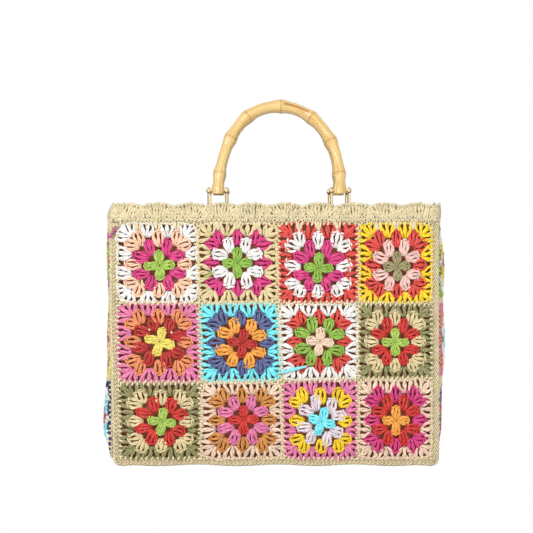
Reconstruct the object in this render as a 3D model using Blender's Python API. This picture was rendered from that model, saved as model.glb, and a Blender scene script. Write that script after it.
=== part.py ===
# Crochet handbag: thirty granny squares joined edge to edge into an open bag, with a crocheted
# bottom strip, corded seams, a scalloped rim, a cloth lining and two bamboo handles on brass shackles.
# Metres, +Z up. The front is -Y. The origin is on the floor under the middle of the bag.

import math

import bmesh
import bpy
from mathutils import Vector

# Fits
CLEARANCE = 0.0003           # between neighbouring pieces
RUNNING_CLEARANCE = 0.0004   # round a pin

# Granny squares
SQUARE_PITCH = 0.085         # one square with its share of the seams
COLUMN_SEAMS = (0.0, 1.05, 2.06, 3.06, 4.0)  # seams between columns, in squares from the left
FRONT_COLUMNS = len(COLUMN_SEAMS) - 1
SQUARE_ROWS = 3
WALL = 0.004                 # thickness of the crocheted wall
SQUARE_CROWN = 0.0010        # the middle of a square stands this far out of the wall
CORNER_PULL = 0.00125        # the seams draw a square's corners in by this much
GAP_NEAR = 0.017             # a pierced gap starts this far from the square's middle
GAP_LENGTH = 0.006
GAP_WIDTH = 0.006

# Corded seams between the front or back and the strip that runs round the sides and bottom
EDGING_RADIUS = 0.0034
EDGING_CORNER = 0.0045       # bend of the cord's middle line at the bottom corners
EDGING_WAVE = 0.0024         # the cord's underside lifts this much under each seam
EDGING_TOP_WAVE = 0.0010

# How the walls bulge
FRONT_BULGE = 0.0065
SIDE_BULGE = 0.0070

# Bottom strip
BASE_THICKNESS = 0.0036
BASE_END_BEND = 0.014        # outer bend where the bottom strip turns up into the sides
BASE_EDGE_RISE = 0.0026      # its long edges lift off the floor by this much
BASE_FLAT_HALF = 0.025       # half width of the stretch that lies flat

# Rim
RIM_ROWS_HEIGHT = 0.0072
RIM_PROUD = 0.0010           # the rim stands this far out of the wall
RIM_THICKNESS = 0.0050
RIM_CORNER = 0.008
SHELL_VALLEY = 0.0083        # height of the scallops at their valleys
SHELL_RISE = 0.0048          # and how much higher their tips are
SCALLOP_PITCH = 0.0352
SCALLOP_SHIFT = -0.003
RIM_LEAN_LEFT = 0.005        # the left end of the scallops leans inwards by this much

# Lining
LINING = 0.0012
LINING_GAP = 0.0008          # between the lining and the crochet
LINING_CORNER = 0.011
LINING_STEP = 0.0075         # its top edge stands this far above the squares

# Bamboo handles
HANDLE_HALF_SPAN = 0.066     # between the middle of the handle and a foot
HANDLE_RISE = 0.0927         # from the pins up to the top of the arch, measured upright
HANDLE_SHIFT = 0.0048        # the handles sit this far right of the bag's middle
HANDLE_FULLNESS = 2.15       # 2 is an ellipse, more is squarer
HANDLE_SKEW = 0.0015         # the right shoulder is a little fuller
HANDLE_LEG_RADIUS = 0.0051
HANDLE_TOP_RADIUS = 0.0060
HANDLE_FOOT_RADIUS = 0.0066
FOOT_FLARE = 0.012           # length of the swelling at a foot
FOOT_BELOW_PIN = 0.0046
HANDLE_MEETING_GAP = 0.0004  # between the two handles, which lean on each other
HANDLE_SIDES = 10
HANDLE_STEP_DEG = 6.0

# Brass shackles, pins and the crocheted tabs that hold them
PIN_ABOVE_RIM = 0.0138       # pin axis above the scallop tips
PIN_RADIUS = 0.0015
PIN_HEAD_RADIUS = 0.0026
PIN_HEAD_LENGTH = 0.0013
EAR_GAP = 0.0014             # between a handle's foot and an ear
EAR_RADIUS = 0.0036
EAR_THICKNESS = 0.0030
SHACKLE_WIRE_RADIUS = 0.0018
SHACKLE_DROP = 0.022         # from the pin down to the middle of the bottom run
SHACKLE_BEND = 0.006
TAB_WIDTH = 0.0074
TAB_THICKNESS = 0.0013
TAB_TAIL = 0.024

# Places along a bamboo stem: the growth nodes, as turns from the right foot over the top,
# and how much each one swells.
HANDLE_NODES = (
    {"angle_deg": 10.0, "swell": 0.0011},
    {"angle_deg": 34.0, "swell": 0.0010},
    {"angle_deg": 59.0, "swell": 0.0008},
    {"angle_deg": 88.0, "swell": 0.0008},
    {"angle_deg": 120.0, "swell": 0.0009},
    {"angle_deg": 143.5, "swell": 0.0009},
    {"angle_deg": 170.0, "swell": 0.0010},
)
NODE_HALF_WIDTH = 0.0065

# Share of each bulge at a share of the wall's height
FRONT_PROFILE = ((0.0, 0.0), (0.15, 0.70), (0.38, 1.0), (0.70, 0.80), (1.0, 0.40))
LEFT_PROFILE = ((0.0, 0.0), (0.12, 1.0), (0.35, 0.85), (0.65, 0.80), (1.0, 0.85))
RIGHT_PROFILE = ((0.0, 0.0), (0.15, 0.45), (0.45, 1.0), (0.80, 0.95), (1.0, 0.45))

# Yarn colours, and the outer round of every square, top row first
YARN = {
    "white": (0.80, 0.77, 0.70),
    "straw": (0.66, 0.56, 0.38),
    "beige": (0.62, 0.52, 0.36),
    "red": (0.55, 0.07, 0.05),
    "coral": (0.62, 0.13, 0.10),
    "yellow": (0.72, 0.50, 0.02),
    "orchid": (0.60, 0.16, 0.34),
    "turquoise": (0.02, 0.38, 0.42),
    "olive": (0.22, 0.24, 0.12),
    "blush": (0.72, 0.52, 0.42),
    "navy": (0.03, 0.05, 0.14),
    "green": (0.16, 0.42, 0.08),
}
FRONT_YARNS = (
    ("white", "straw", "coral", "yellow"),
    ("orchid", "turquoise", "white", "olive"),
    ("olive", "blush", "orchid", "blush"),
)
BACK_YARNS = (
    ("turquoise", "yellow", "white", "orchid"),
    ("coral", "olive", "blush", "navy"),
    ("straw", "white", "green", "red"),
)
SIDE_YARNS = {
    "left": ("straw", "yellow", "navy"),
    "right": ("green", "orchid", "beige"),
}

# Sizes that follow from the ones above
HALF_SQUARE = (SQUARE_PITCH - CLEARANCE) / 2
FRONT_HALF = COLUMN_SEAMS[-1] * SQUARE_PITCH / 2
EDGING_X = FRONT_HALF - CLEARANCE / 2 + CLEARANCE + EDGING_RADIUS
EDGING_Y = HALF_SQUARE + CLEARANCE + EDGING_RADIUS
BODY_FLOOR = 2 * EDGING_RADIUS + CLEARANCE
BODY_TOP = BODY_FLOOR + SQUARE_ROWS * SQUARE_PITCH
OUTER_X = EDGING_X + WALL / 2
OUTER_Y = EDGING_Y + WALL / 2
STRIP_FLOOR = BASE_END_BEND * 0.66
STRIP_PITCH = (BODY_TOP - STRIP_FLOOR) / SQUARE_ROWS
BEND_X = OUTER_X - BASE_END_BEND
RIM_FLOOR = BODY_TOP + CLEARANCE / 2
RIM_ROWS_TOP = RIM_FLOOR + RIM_ROWS_HEIGHT
SHELL_FLOOR = RIM_ROWS_TOP + CLEARANCE
RIM_TIP = SHELL_FLOOR + SHELL_VALLEY + SHELL_RISE
LINING_TOP = BODY_TOP + LINING_STEP
PIN_Z = RIM_TIP + PIN_ABOVE_RIM
EAR_MIDDLE = HANDLE_FOOT_RADIUS + EAR_GAP + EAR_THICKNESS / 2
WIRE_SIDES = 6
TAB_LOOP = SHACKLE_WIRE_RADIUS / math.cos(math.pi / WIRE_SIDES) + CLEARANCE + TAB_THICKNESS / 2


def clear_scene():
    for obj in list(bpy.data.objects):
        bpy.data.objects.remove(obj, do_unlink=True)


def finish(name, colour, roughness, metallic=0.0):
    material = bpy.data.materials.new(name)
    material.use_nodes = True
    shader = material.node_tree.nodes["Principled BSDF"]
    shader.inputs["Base Color"].default_value = (*colour, 1.0)
    shader.inputs["Roughness"].default_value = roughness
    shader.inputs["Metallic"].default_value = metallic
    material.diffuse_color = (*colour, 1.0)
    return material


def add_piece(name, bm, look, parent=None, location=(0.0, 0.0, 0.0), smooth=True):
    """Turn a closed bmesh into a named object with its own material."""
    bmesh.ops.recalc_face_normals(bm, faces=bm.faces)
    mesh = bpy.data.meshes.new(name)
    bm.to_mesh(mesh)
    bm.free()
    if smooth:
        mesh.shade_smooth()
        mesh.set_sharp_from_angle(angle=math.radians(50))
    if look:
        mesh.materials.append(finish(name, *look))
    piece = bpy.data.objects.new(name, mesh)
    bpy.context.scene.collection.objects.link(piece)
    piece.location = location
    piece.parent = parent
    return piece


def add_pivot(name, location, turn_x):
    pivot = bpy.data.objects.new(name, None)
    bpy.context.scene.collection.objects.link(pivot)
    pivot.location = location
    pivot.rotation_euler = (turn_x, 0.0, 0.0)
    return pivot


def use_as_tool(target, tool, operation):
    """Cut a tool out of a piece, or fuse it on, with a live Boolean."""
    tool.hide_render = True
    tool.display_type = "WIRE"
    modifier = target.modifiers.new(tool.name, "BOOLEAN")
    modifier.operation = operation
    modifier.object = tool
    modifier.solver = "EXACT"


def loft(loops, closed=False):
    """Skin a row of equal loops: capped at both ends, or joined from the last back to the first."""
    bm = bmesh.new()
    rings = [[bm.verts.new(point) for point in loop] for loop in loops]
    pairs = list(zip(rings, rings[1:]))
    if closed:
        pairs.append((rings[-1], rings[0]))
    for ring, following in pairs:
        for i in range(len(ring)):
            j = (i + 1) % len(ring)
            bm.faces.new((ring[i], ring[j], following[j], following[i]))
    if not closed:
        bm.faces.new(rings[0])
        bm.faces.new(rings[-1])
    return bm


def tube_loop(middle, across, up, half_across, half_up, sides):
    """A ring of points round a middle, with flats at the given half sizes."""
    reach = 1 / math.cos(math.pi / sides)
    points = []
    for i in range(sides):
        turn = math.tau * (i + 0.5) / sides
        points.append(
            middle
            + across * (math.cos(turn) * half_across * reach)
            + up * (math.sin(turn) * half_up * reach)
        )
    return points


def ease(table, share):
    """Read a smooth curve through a table of (share, value) rows."""
    share = min(max(share, table[0][0]), table[-1][0])
    for (low, value_low), (high, value_high) in zip(table, table[1:]):
        if share <= high:
            blend = (1 - math.cos(math.pi * (share - low) / (high - low))) / 2
            return value_low + (value_high - value_low) * blend
    return table[-1][1]


def height_share(z):
    return (z - BODY_FLOOR) / (BODY_TOP - BODY_FLOOR)


def front_bulge(x, z):
    across = max(0.0, 1 - (x / FRONT_HALF) ** 2)
    return FRONT_BULGE * across * ease(FRONT_PROFILE, height_share(z))


def side_bulge(x, y, z):
    across = max(0.0, 1 - (y / (SQUARE_PITCH / 2)) ** 2)
    profile = LEFT_PROFILE if x < 0 else RIGHT_PROFILE
    return SIDE_BULGE * across * ease(profile, height_share(z))


def bend_inset(z):
    """How far the side walls stand in from their full width where they turn under the bag."""
    below = max(0.0, BASE_END_BEND - z)
    return BASE_END_BEND - math.sqrt(max(0.0, BASE_END_BEND**2 - below**2))


def bulged(x, y, z, half_x, half_y):
    """Move a point of a plain upright outline out with the bulging walls."""
    out_y = front_bulge(x, z) * min(1.0, abs(y) / half_y) ** 6
    out_x = side_bulge(x, y, z) * min(1.0, abs(x) / half_x) ** 6
    return Vector((x + math.copysign(out_x, x), y + math.copysign(out_y, y), z))


def outline(half_x, half_y, corner, front_steps, side_steps, corner_steps):
    """Anticlockwise points of a rectangle with round corners, seen from above."""
    points = []
    corners = ((1, -1), (1, 1), (-1, 1), (-1, -1))
    for turn, (sign_x, sign_y) in enumerate(corners):
        centre = Vector((sign_x * (half_x - corner), sign_y * (half_y - corner)))
        for step in range(corner_steps + 1):
            angle = math.pi / 2 * (turn - 1 + step / corner_steps)
            points.append(centre + corner * Vector((math.cos(angle), math.sin(angle))))
        next_x, next_y = corners[(turn + 1) % 4]
        angle = math.pi / 2 * turn
        arm = corner * Vector((math.cos(angle), math.sin(angle)))
        start = centre + arm
        end = Vector((next_x * (half_x - corner), next_y * (half_y - corner))) + arm
        steps = side_steps if turn % 2 == 0 else front_steps
        points.extend(start.lerp(end, i / steps) for i in range(1, steps))
    return points


def square_crown(u, v):
    return SQUARE_CROWN * (1 - (u / HALF_SQUARE) ** 2) * (1 - (v / HALF_SQUARE) ** 2)


def front_point(sign, centre, u, v, depth):
    """A point of a front or back square, whose centre holds x, z and its width against a plain one."""
    x = centre[0] + u * centre[2]
    z = centre[1] + v
    y = OUTER_Y + front_bulge(x, z) + square_crown(u, v) - depth
    return Vector((x, sign * y, z))


def side_point(sign, centre, u, v, depth):
    y = centre[0] + u
    z = centre[1] + v * (STRIP_PITCH - CLEARANCE) / (SQUARE_PITCH - CLEARANCE)
    x = OUTER_X - bend_inset(z) + side_bulge(sign, y, z) + square_crown(u, v)
    tilt = max(0.0, 1 - z / BASE_END_BEND)
    x -= depth * math.sqrt(1 - tilt**2)
    return Vector((sign * x, y, z + depth * tilt))


def square_rings():
    """The square in rings of twelve points: the gaps' near ends, their far ends and the edge."""
    edge_half = HALF_SQUARE * 0.2
    corner = HALF_SQUARE - CORNER_PULL
    slope = math.sqrt(0.5)
    rows = (
        (GAP_NEAR, GAP_WIDTH / 2, GAP_NEAR * slope),
        (GAP_NEAR + GAP_LENGTH, GAP_WIDTH / 2, (GAP_NEAR + GAP_LENGTH) * slope),
        (HALF_SQUARE, edge_half, corner),
    )
    rings = []
    for reach, half_width, diagonal in rows:
        ring = []
        for quarter in range(4):
            cos = round(math.cos(quarter * math.pi / 2))
            sin = round(math.sin(quarter * math.pi / 2))
            for u, v in ((reach, -half_width), (reach, half_width), (diagonal, diagonal)):
                ring.append((u * cos - v * sin, u * sin + v * cos))
        rings.append(ring)
    return rings


def square_mesh(place, sign, centre):
    """A pillowed square plate with four gaps cut through it, on a bulging wall."""
    bm = bmesh.new()
    layers = []
    for depth in (0.0, WALL):
        rings = [
            [bm.verts.new(place(sign, centre, u, v, depth)) for u, v in ring]
            for ring in square_rings()
        ]
        middle = bm.verts.new(place(sign, centre, 0.0, 0.0, depth))
        layers.append((middle, rings))
    for middle, (near, far, edge) in layers:
        for i in range(12):
            j = (i + 1) % 12
            bm.faces.new((middle, near[i], near[j]))
            bm.faces.new((far[i], far[j], edge[j], edge[i]))
            if i % 3 != 0:
                bm.faces.new((near[i], near[j], far[j], far[i]))
    (_, outer), (_, inner) = layers
    for i in range(12):
        j = (i + 1) % 12
        bm.faces.new((outer[2][i], outer[2][j], inner[2][j], inner[2][i]))
        if i % 3 == 0:
            hole = [(0, i), (0, j), (1, j), (1, i)]
            for (ring_a, a), (ring_b, b) in zip(hole, hole[1:] + hole[:1]):
                bm.faces.new((outer[ring_a][a], outer[ring_b][b], inner[ring_b][b], inner[ring_a][a]))
    return bm


def yarn_look(name):
    return (YARN[name], 0.75)


def add_squares():
    for row in range(SQUARE_ROWS):
        z = BODY_TOP - (row + 0.5) * SQUARE_PITCH
        for column, (left, right) in enumerate(zip(COLUMN_SEAMS, COLUMN_SEAMS[1:])):
            x = (left + right) / 2 * SQUARE_PITCH - FRONT_HALF
            stretch = ((right - left) * SQUARE_PITCH - CLEARANCE) / (2 * HALF_SQUARE)
            for face, sign, yarns in (("front", -1, FRONT_YARNS), ("back", 1, BACK_YARNS)):
                look = yarn_look(yarns[row % len(yarns)][column % len(yarns[0])])
                name = f"square_{face}_{row + 1}_{column + 1}"
                add_piece(name, square_mesh(front_point, sign, (x, z, stretch)), look)
        side_z = BODY_TOP - (row + 0.5) * STRIP_PITCH
        for face, sign in (("left", -1), ("right", 1)):
            yarns = SIDE_YARNS[face]
            look = yarn_look(yarns[row % len(yarns)])
            add_piece(f"square_{face}_{row + 1}", square_mesh(side_point, sign, (0.0, side_z)), look)


def edging_loops(sign):
    """The cord down one side, along the bottom and up the other, as a row of tube sections."""
    across = Vector((0.0, 1.0, 0.0))
    stations = []
    leg_top = BODY_TOP - CLEARANCE / 2
    bend_z = EDGING_RADIUS + EDGING_CORNER
    for i in range(4):
        z = leg_top + (bend_z - leg_top) * i / 4
        stations.append((-EDGING_X, z, Vector((1, 0, 0)), EDGING_RADIUS))
    for i in range(5):
        angle = math.pi + math.pi / 2 * i / 4
        outward = Vector((math.cos(angle), 0, math.sin(angle)))
        middle_x = -EDGING_X + EDGING_CORNER
        point = Vector((middle_x, 0, bend_z)) + outward * EDGING_CORNER
        stations.append((point.x, point.z, -outward, EDGING_RADIUS))
    run = EDGING_X - EDGING_CORNER
    steps = 4 * FRONT_COLUMNS
    for i in range(steps + 1):
        x = -FRONT_HALF + 2 * FRONT_HALF * i / steps
        if abs(x) < run - EDGING_CORNER:
            lift = (1 - math.cos(math.tau * (x + FRONT_HALF) / SQUARE_PITCH - math.pi)) / 2
            low = EDGING_WAVE * lift
            high = 2 * EDGING_RADIUS + EDGING_TOP_WAVE * lift
            stations.append((x, (low + high) / 2, Vector((0, 0, 1)), (high - low) / 2))
    mirrored = [(-x, z, Vector((-up.x, 0, up.z)), half) for x, z, up, half in stations[:9]]
    stations.extend(reversed(mirrored))
    return [
        tube_loop(Vector((x, sign * EDGING_Y, z)), across, up, EDGING_RADIUS, half, 8)
        for x, z, up, half in stations
    ]


def base_rise(y):
    """How far the bottom strip's outer face is off its flat middle."""
    over = max(0.0, abs(y) - BASE_FLAT_HALF) / (HALF_SQUARE - BASE_FLAT_HALF)
    return BASE_EDGE_RISE * over**1.6


def base_loops():
    """Cross sections of the bottom strip, from the left side under the bag to the right side."""
    end_angle = math.acos(1 - (STRIP_FLOOR - CLEARANCE) / BASE_END_BEND)
    path = []
    for i in range(5):
        angle = end_angle * (1 - i / 4)
        x = -BEND_X - BASE_END_BEND * math.sin(angle)
        z = BASE_END_BEND * (1 - math.cos(angle))
        path.append((x, z, Vector((math.sin(angle), 0, math.cos(angle))), i / 4))
    path.append((0.0, 0.0, Vector((0, 0, 1)), 1.0))
    path.extend((-x, z, Vector((-up.x, 0, up.z)), lift) for x, z, up, lift in reversed(path[:5]))
    shares = (-1.0, -0.8, -BASE_FLAT_HALF / HALF_SQUARE, BASE_FLAT_HALF / HALF_SQUARE, 0.8, 1.0)
    loops = []
    for x, z, up, lift in path:
        outer = []
        inner = []
        for share in shares:
            y = share * HALF_SQUARE
            foot = Vector((x, y, z)) + up * (base_rise(y) * lift)
            outer.append(foot)
            inner.append(foot + up * BASE_THICKNESS)
        loops.append(outer + inner[::-1])
    return loops


def rim_loop(proud, z_of, front_steps, side_steps, corner_steps):
    """One loop round the bag's mouth, at a height that may change along it."""
    half_x = OUTER_X + proud
    half_y = OUTER_Y + proud
    corner = RIM_CORNER if proud > 0 else RIM_CORNER - RIM_THICKNESS
    loop = []
    for x, y in outline(half_x, half_y, corner, front_steps, side_steps, corner_steps):
        z = z_of(x, y)
        point = bulged(x, y, z, half_x, half_y)
        climb = (z - SHELL_FLOOR) / (RIM_TIP - SHELL_FLOOR)
        if x < 0 and climb > 0:
            point.x += RIM_LEAN_LEFT * climb * (abs(x) / half_x) ** 8
        loop.append(point)
    return loop


def scallop_top(x, y):
    """Height of the scalloped edge above a point of the rim."""
    if abs(y) > OUTER_Y - RIM_THICKNESS - RIM_CORNER:
        along = x - SCALLOP_SHIFT
    else:
        along = y + SCALLOP_PITCH / 2
    wave = abs(math.cos(math.pi * along / SCALLOP_PITCH + math.pi / 2))
    return SHELL_FLOOR + SHELL_VALLEY + SHELL_RISE * wave


def rim_ring(floor, top_of, front_steps, side_steps, corner_steps):
    counts = (front_steps, side_steps, corner_steps)
    inner_proud = RIM_PROUD - RIM_THICKNESS
    return [
        rim_loop(RIM_PROUD, lambda x, y: floor, *counts),
        rim_loop(RIM_PROUD, top_of, *counts),
        rim_loop(inner_proud, top_of, *counts),
        rim_loop(inner_proud, lambda x, y: floor, *counts),
    ]


def lining_loop(inset, z, floor_share=None):
    """One level of the lining, or of its floor when a share of the floor's width is given."""
    half_x = OUTER_X - WALL - inset
    half_y = OUTER_Y - WALL - inset
    bend = BASE_END_BEND - BASE_THICKNESS - inset
    corner = LINING_CORNER - inset
    if floor_share is not None:
        half_x = BEND_X * floor_share
        half_y = (HALF_SQUARE - BASE_END_BEND / 2) * floor_share
        corner = corner * floor_share
        plan = outline(half_x, half_y, corner, 6, 2, 2)
        return [Vector((x, y, base_rise(y) + BASE_THICKNESS + inset)) for x, y in plan]
    if z < BASE_END_BEND:
        below = BASE_END_BEND - z
        half_x = BEND_X + math.sqrt(max(0.0, bend**2 - below**2)) - CLEARANCE
        half_y = min(half_y, HALF_SQUARE - inset / 2)
    plan = outline(half_x, half_y, corner, 6, 2, 2)
    return [bulged(x, y, z, half_x, half_y) for x, y in plan]


def lining_loops():
    """From the middle of the floor outside, up, over the top edge and down again inside."""
    climb = BODY_TOP - BASE_END_BEND
    low = BASE_THICKNESS + BASE_EDGE_RISE + LINING_GAP
    levels = [low, (low + BASE_END_BEND) / 2, BASE_END_BEND]
    levels += [BASE_END_BEND + climb * share for share in (0.07, 0.16, 0.38, 0.60, 0.82)]
    levels.append(LINING_TOP)
    outside = [lining_loop(LINING_GAP, 0.0, 0.3), lining_loop(LINING_GAP, 0.0, 1.0)]
    outside += [lining_loop(LINING_GAP, z) for z in levels]
    inset = LINING_GAP + LINING
    inside = [lining_loop(inset, 0.0, 0.3), lining_loop(inset, 0.0, 1.0)]
    inside += [lining_loop(inset, z + (LINING if z < BASE_END_BEND else 0.0)) for z in levels]
    return outside + inside[::-1]


def handle_radius(angle, height, travelled):
    """Radius of the bamboo at a turn of the arch, with its foot, its nodes and its taper."""
    rise = min(1.0, max(0.0, height / HANDLE_RISE))
    radius = HANDLE_LEG_RADIUS + (HANDLE_TOP_RADIUS - HANDLE_LEG_RADIUS) * rise**1.5
    if height < FOOT_FLARE:
        flare = 1 - max(0.0, height) / FOOT_FLARE
        radius += (HANDLE_FOOT_RADIUS - radius) * min(1.0, 1.3 * flare)
    for node in HANDLE_NODES:
        away = abs(math.radians(angle - node["angle_deg"])) * travelled
        if away < NODE_HALF_WIDTH:
            radius += node["swell"] * (1 - away / NODE_HALF_WIDTH)
    return radius


def handle_angles():
    """Turns from foot to foot: even steps, with the nodes' middles and flanks added."""
    arm = math.hypot(HANDLE_HALF_SPAN, HANDLE_RISE) / math.sqrt(2)
    flank = math.degrees(NODE_HALF_WIDTH / arm)
    wanted = []
    for node in HANDLE_NODES:
        wanted += [node["angle_deg"] - flank, node["angle_deg"], node["angle_deg"] + flank]
    even = [i * HANDLE_STEP_DEG for i in range(round(180 / HANDLE_STEP_DEG) + 1)]
    kept = [a for a in even if all(abs(a - w) > flank * 0.8 for w in wanted)]
    return sorted(kept + wanted), arm


def handle_height():
    """Length of the arch in its own leaning plane, from the pins to the top of its middle line."""
    return math.hypot(HANDLE_RISE, handle_reach())


def handle_top_radius():
    return HANDLE_TOP_RADIUS + max(node["swell"] for node in HANDLE_NODES)


def handle_reach():
    """How far the top of a leaning handle stands in from its pins."""
    return PIN_Y - handle_top_radius() / math.cos(math.pi / HANDLE_SIDES) - HANDLE_MEETING_GAP / 2


def handle_lean():
    return math.atan2(handle_reach(), HANDLE_RISE)


def handle_point(angle):
    """Middle line of the arch at a turn, in its own plane, with the pins at height zero."""
    cos = math.cos(math.radians(angle))
    sin = math.sin(math.radians(angle))
    power = 2 / HANDLE_FULLNESS
    x = math.copysign(HANDLE_HALF_SPAN * abs(cos) ** power, cos)
    height = handle_height() * max(0.0, sin) ** power
    skew = HANDLE_SKEW * math.sin(math.pi * height / handle_height())
    return Vector((x + skew, 0.0, height))


def handle_loops():
    angles, arm = handle_angles()
    points = [handle_point(angle) for angle in angles]
    across = Vector((0.0, 1.0, 0.0))
    up = Vector((0.0, 0.0, 1.0))
    right_foot = points[0] - up * FOOT_BELOW_PIN
    left_foot = points[-1] - up * FOOT_BELOW_PIN
    loops = [tube_loop(right_foot, across, Vector((1, 0, 0)), HANDLE_FOOT_RADIUS * 0.9,
                       HANDLE_FOOT_RADIUS * 0.9, HANDLE_SIDES)]
    for i, angle in enumerate(angles):
        before = points[i - 1] if i > 0 else right_foot
        after = points[i + 1] if i < len(points) - 1 else left_foot
        along = (after - before).normalized()
        side = Vector((along.z, 0.0, -along.x))
        radius = handle_radius(angle, points[i].z, arm)
        loops.append(tube_loop(points[i], across, side, radius, radius, HANDLE_SIDES))
    loops.append(tube_loop(left_foot, across, Vector((-1, 0, 0)), HANDLE_FOOT_RADIUS * 0.9,
                           HANDLE_FOOT_RADIUS * 0.9, HANDLE_SIDES))
    return loops


def rod(length, radius, sides):
    """A cylinder along X, centred on its own origin."""
    bm = bmesh.new()
    bmesh.ops.create_cone(
        bm, cap_ends=True, segments=sides, radius1=radius, radius2=radius, depth=length
    )
    quarter = Vector((0.0, 0.0, 1.0)).rotation_difference(Vector((1.0, 0.0, 0.0)))
    bmesh.ops.rotate(bm, verts=bm.verts, matrix=quarter.to_matrix())
    return bm


def pin_mesh():
    """A pin along X with a flat head at each end, turned from a profile."""
    ear_outside = EAR_MIDDLE + EAR_THICKNESS / 2
    head_inside = ear_outside + CLEARANCE
    head_outside = head_inside + PIN_HEAD_LENGTH
    profile = (
        (-head_outside, PIN_HEAD_RADIUS * 0.75),
        (-head_outside + PIN_HEAD_LENGTH * 0.4, PIN_HEAD_RADIUS),
        (-head_inside, PIN_HEAD_RADIUS),
        (-head_inside, PIN_RADIUS),
        (head_inside, PIN_RADIUS),
        (head_inside, PIN_HEAD_RADIUS),
        (head_outside - PIN_HEAD_LENGTH * 0.4, PIN_HEAD_RADIUS),
        (head_outside, PIN_HEAD_RADIUS * 0.75),
    )
    across = Vector((0.0, 1.0, 0.0))
    up = Vector((0.0, 0.0, 1.0))
    return loft([tube_loop(Vector((x, 0, 0)), across, up, r, r, 8) for x, r in profile])


def shackle_loops():
    """The U of wire below the ears, in its own frame with the pin axis at the origin."""
    arm_top = -EAR_RADIUS + SHACKLE_WIRE_RADIUS * 0.4
    stations = [(-EAR_MIDDLE, arm_top, Vector((1, 0, 0)))]
    for i in range(5):
        angle = math.pi + math.pi / 2 * i / 4
        outward = Vector((math.cos(angle), 0, math.sin(angle)))
        centre = Vector((-EAR_MIDDLE + SHACKLE_BEND, 0, -SHACKLE_DROP + SHACKLE_BEND))
        point = centre + outward * SHACKLE_BEND
        stations.append((point.x, point.z, -outward))
    stations += [(-x, z, Vector((-up.x, 0, up.z))) for x, z, up in reversed(stations)]
    across = Vector((0.0, 1.0, 0.0))
    wire = SHACKLE_WIRE_RADIUS
    return [tube_loop(Vector((x, 0, z)), across, up, wire, wire, WIRE_SIDES) for x, z, up in stations]


def tab_loops(outward):
    """A strip that goes up, round the shackle's bottom run and down again on itself."""
    low = -SHACKLE_DROP - TAB_TAIL
    turn_z = -SHACKLE_DROP
    lap = TAB_THICKNESS + CLEARANCE
    path = [(TAB_LOOP, low), (TAB_LOOP, turn_z)]
    for i in range(1, 8):
        angle = math.pi * 1.15 * i / 7
        path.append((TAB_LOOP * math.cos(angle), turn_z + TAB_LOOP * math.sin(angle)))
    path.append((TAB_LOOP - lap, turn_z - TAB_LOOP * 3.2))
    path.append((TAB_LOOP - lap, low))
    loops = []
    for i, (out, z) in enumerate(path):
        before = path[max(0, i - 1)]
        after = path[min(len(path) - 1, i + 1)]
        along = Vector((after[0] - before[0], after[1] - before[1])).normalized()
        normal = Vector((along.y, -along.x)) * (TAB_THICKNESS / 2)
        loop = []
        for side, face in ((-1, -1), (1, -1), (1, 1), (-1, 1)):
            x = side * TAB_WIDTH / 2
            y = outward * (out + face * normal.x)
            loop.append(Vector((x, y, z + face * normal.y)))
        loops.append(loop)
    return loops


def foot_places():
    """The two feet of a handle, along X."""
    return (("left", HANDLE_SHIFT - HANDLE_HALF_SPAN), ("right", HANDLE_SHIFT + HANDLE_HALF_SPAN))


def lining_face_y():
    """Inner face of the lining where the tabs are sewn on, at the foot with the least room."""
    reach = min(front_bulge(x, LINING_TOP) for _, x in foot_places())
    return OUTER_Y - WALL - LINING_GAP - LINING + reach


PIN_Y = lining_face_y() - CLEARANCE - TAB_THICKNESS / 2 - TAB_LOOP
BAMBOO_LOOK = ((0.62, 0.34, 0.12), 0.35)
BRASS_LOOK = ((0.80, 0.58, 0.24), 0.22, 1.0)
TRIM_LOOK = (YARN["beige"], 0.75)
LINING_LOOK = ((0.30, 0.14, 0.08), 0.85)


def add_handle(face, sign):
    """A bamboo arch with its two pins, leaning in on a pivot that lies on the pins' axis."""
    place = (HANDLE_SHIFT, sign * PIN_Y, PIN_Z)
    pivot = add_pivot(f"{face}_handle_pivot", place, sign * handle_lean())
    handle = add_piece(f"{face}_handle", loft(handle_loops()), BAMBOO_LOOK, pivot)
    for side, x in foot_places():
        local_x = x - HANDLE_SHIFT
        bore = rod(HANDLE_FOOT_RADIUS * 4, PIN_RADIUS + RUNNING_CLEARANCE, 8)
        cutter = add_piece(f"{face}_{side}_bore", bore, None, pivot, (local_x, 0, 0), smooth=False)
        use_as_tool(handle, cutter, "DIFFERENCE")
        add_piece(f"{face}_{side}_pin", pin_mesh(), BRASS_LOOK, pivot, (local_x, 0, 0))


def add_shackle(face, side, x, sign):
    place = (x, sign * PIN_Y, PIN_Z)
    name = f"{face}_{side}_shackle"
    shackle = add_piece(name, loft(shackle_loops()), BRASS_LOOK, None, place)
    for end in (-1, 1):
        ear_place = (x + end * EAR_MIDDLE, sign * PIN_Y, PIN_Z)
        ear_name = f"{name}_ear_{end + 1}"
        ear = add_piece(ear_name, rod(EAR_THICKNESS, EAR_RADIUS, 10), None, None, ear_place, smooth=False)
        use_as_tool(shackle, ear, "UNION")
    hole = rod(EAR_MIDDLE * 4, PIN_RADIUS + RUNNING_CLEARANCE, 8)
    cutter = add_piece(f"{name}_hole", hole, None, None, place, smooth=False)
    use_as_tool(shackle, cutter, "DIFFERENCE")
    add_piece(f"{face}_{side}_tab", loft(tab_loops(sign)), TRIM_LOOK, None, place)


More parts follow.
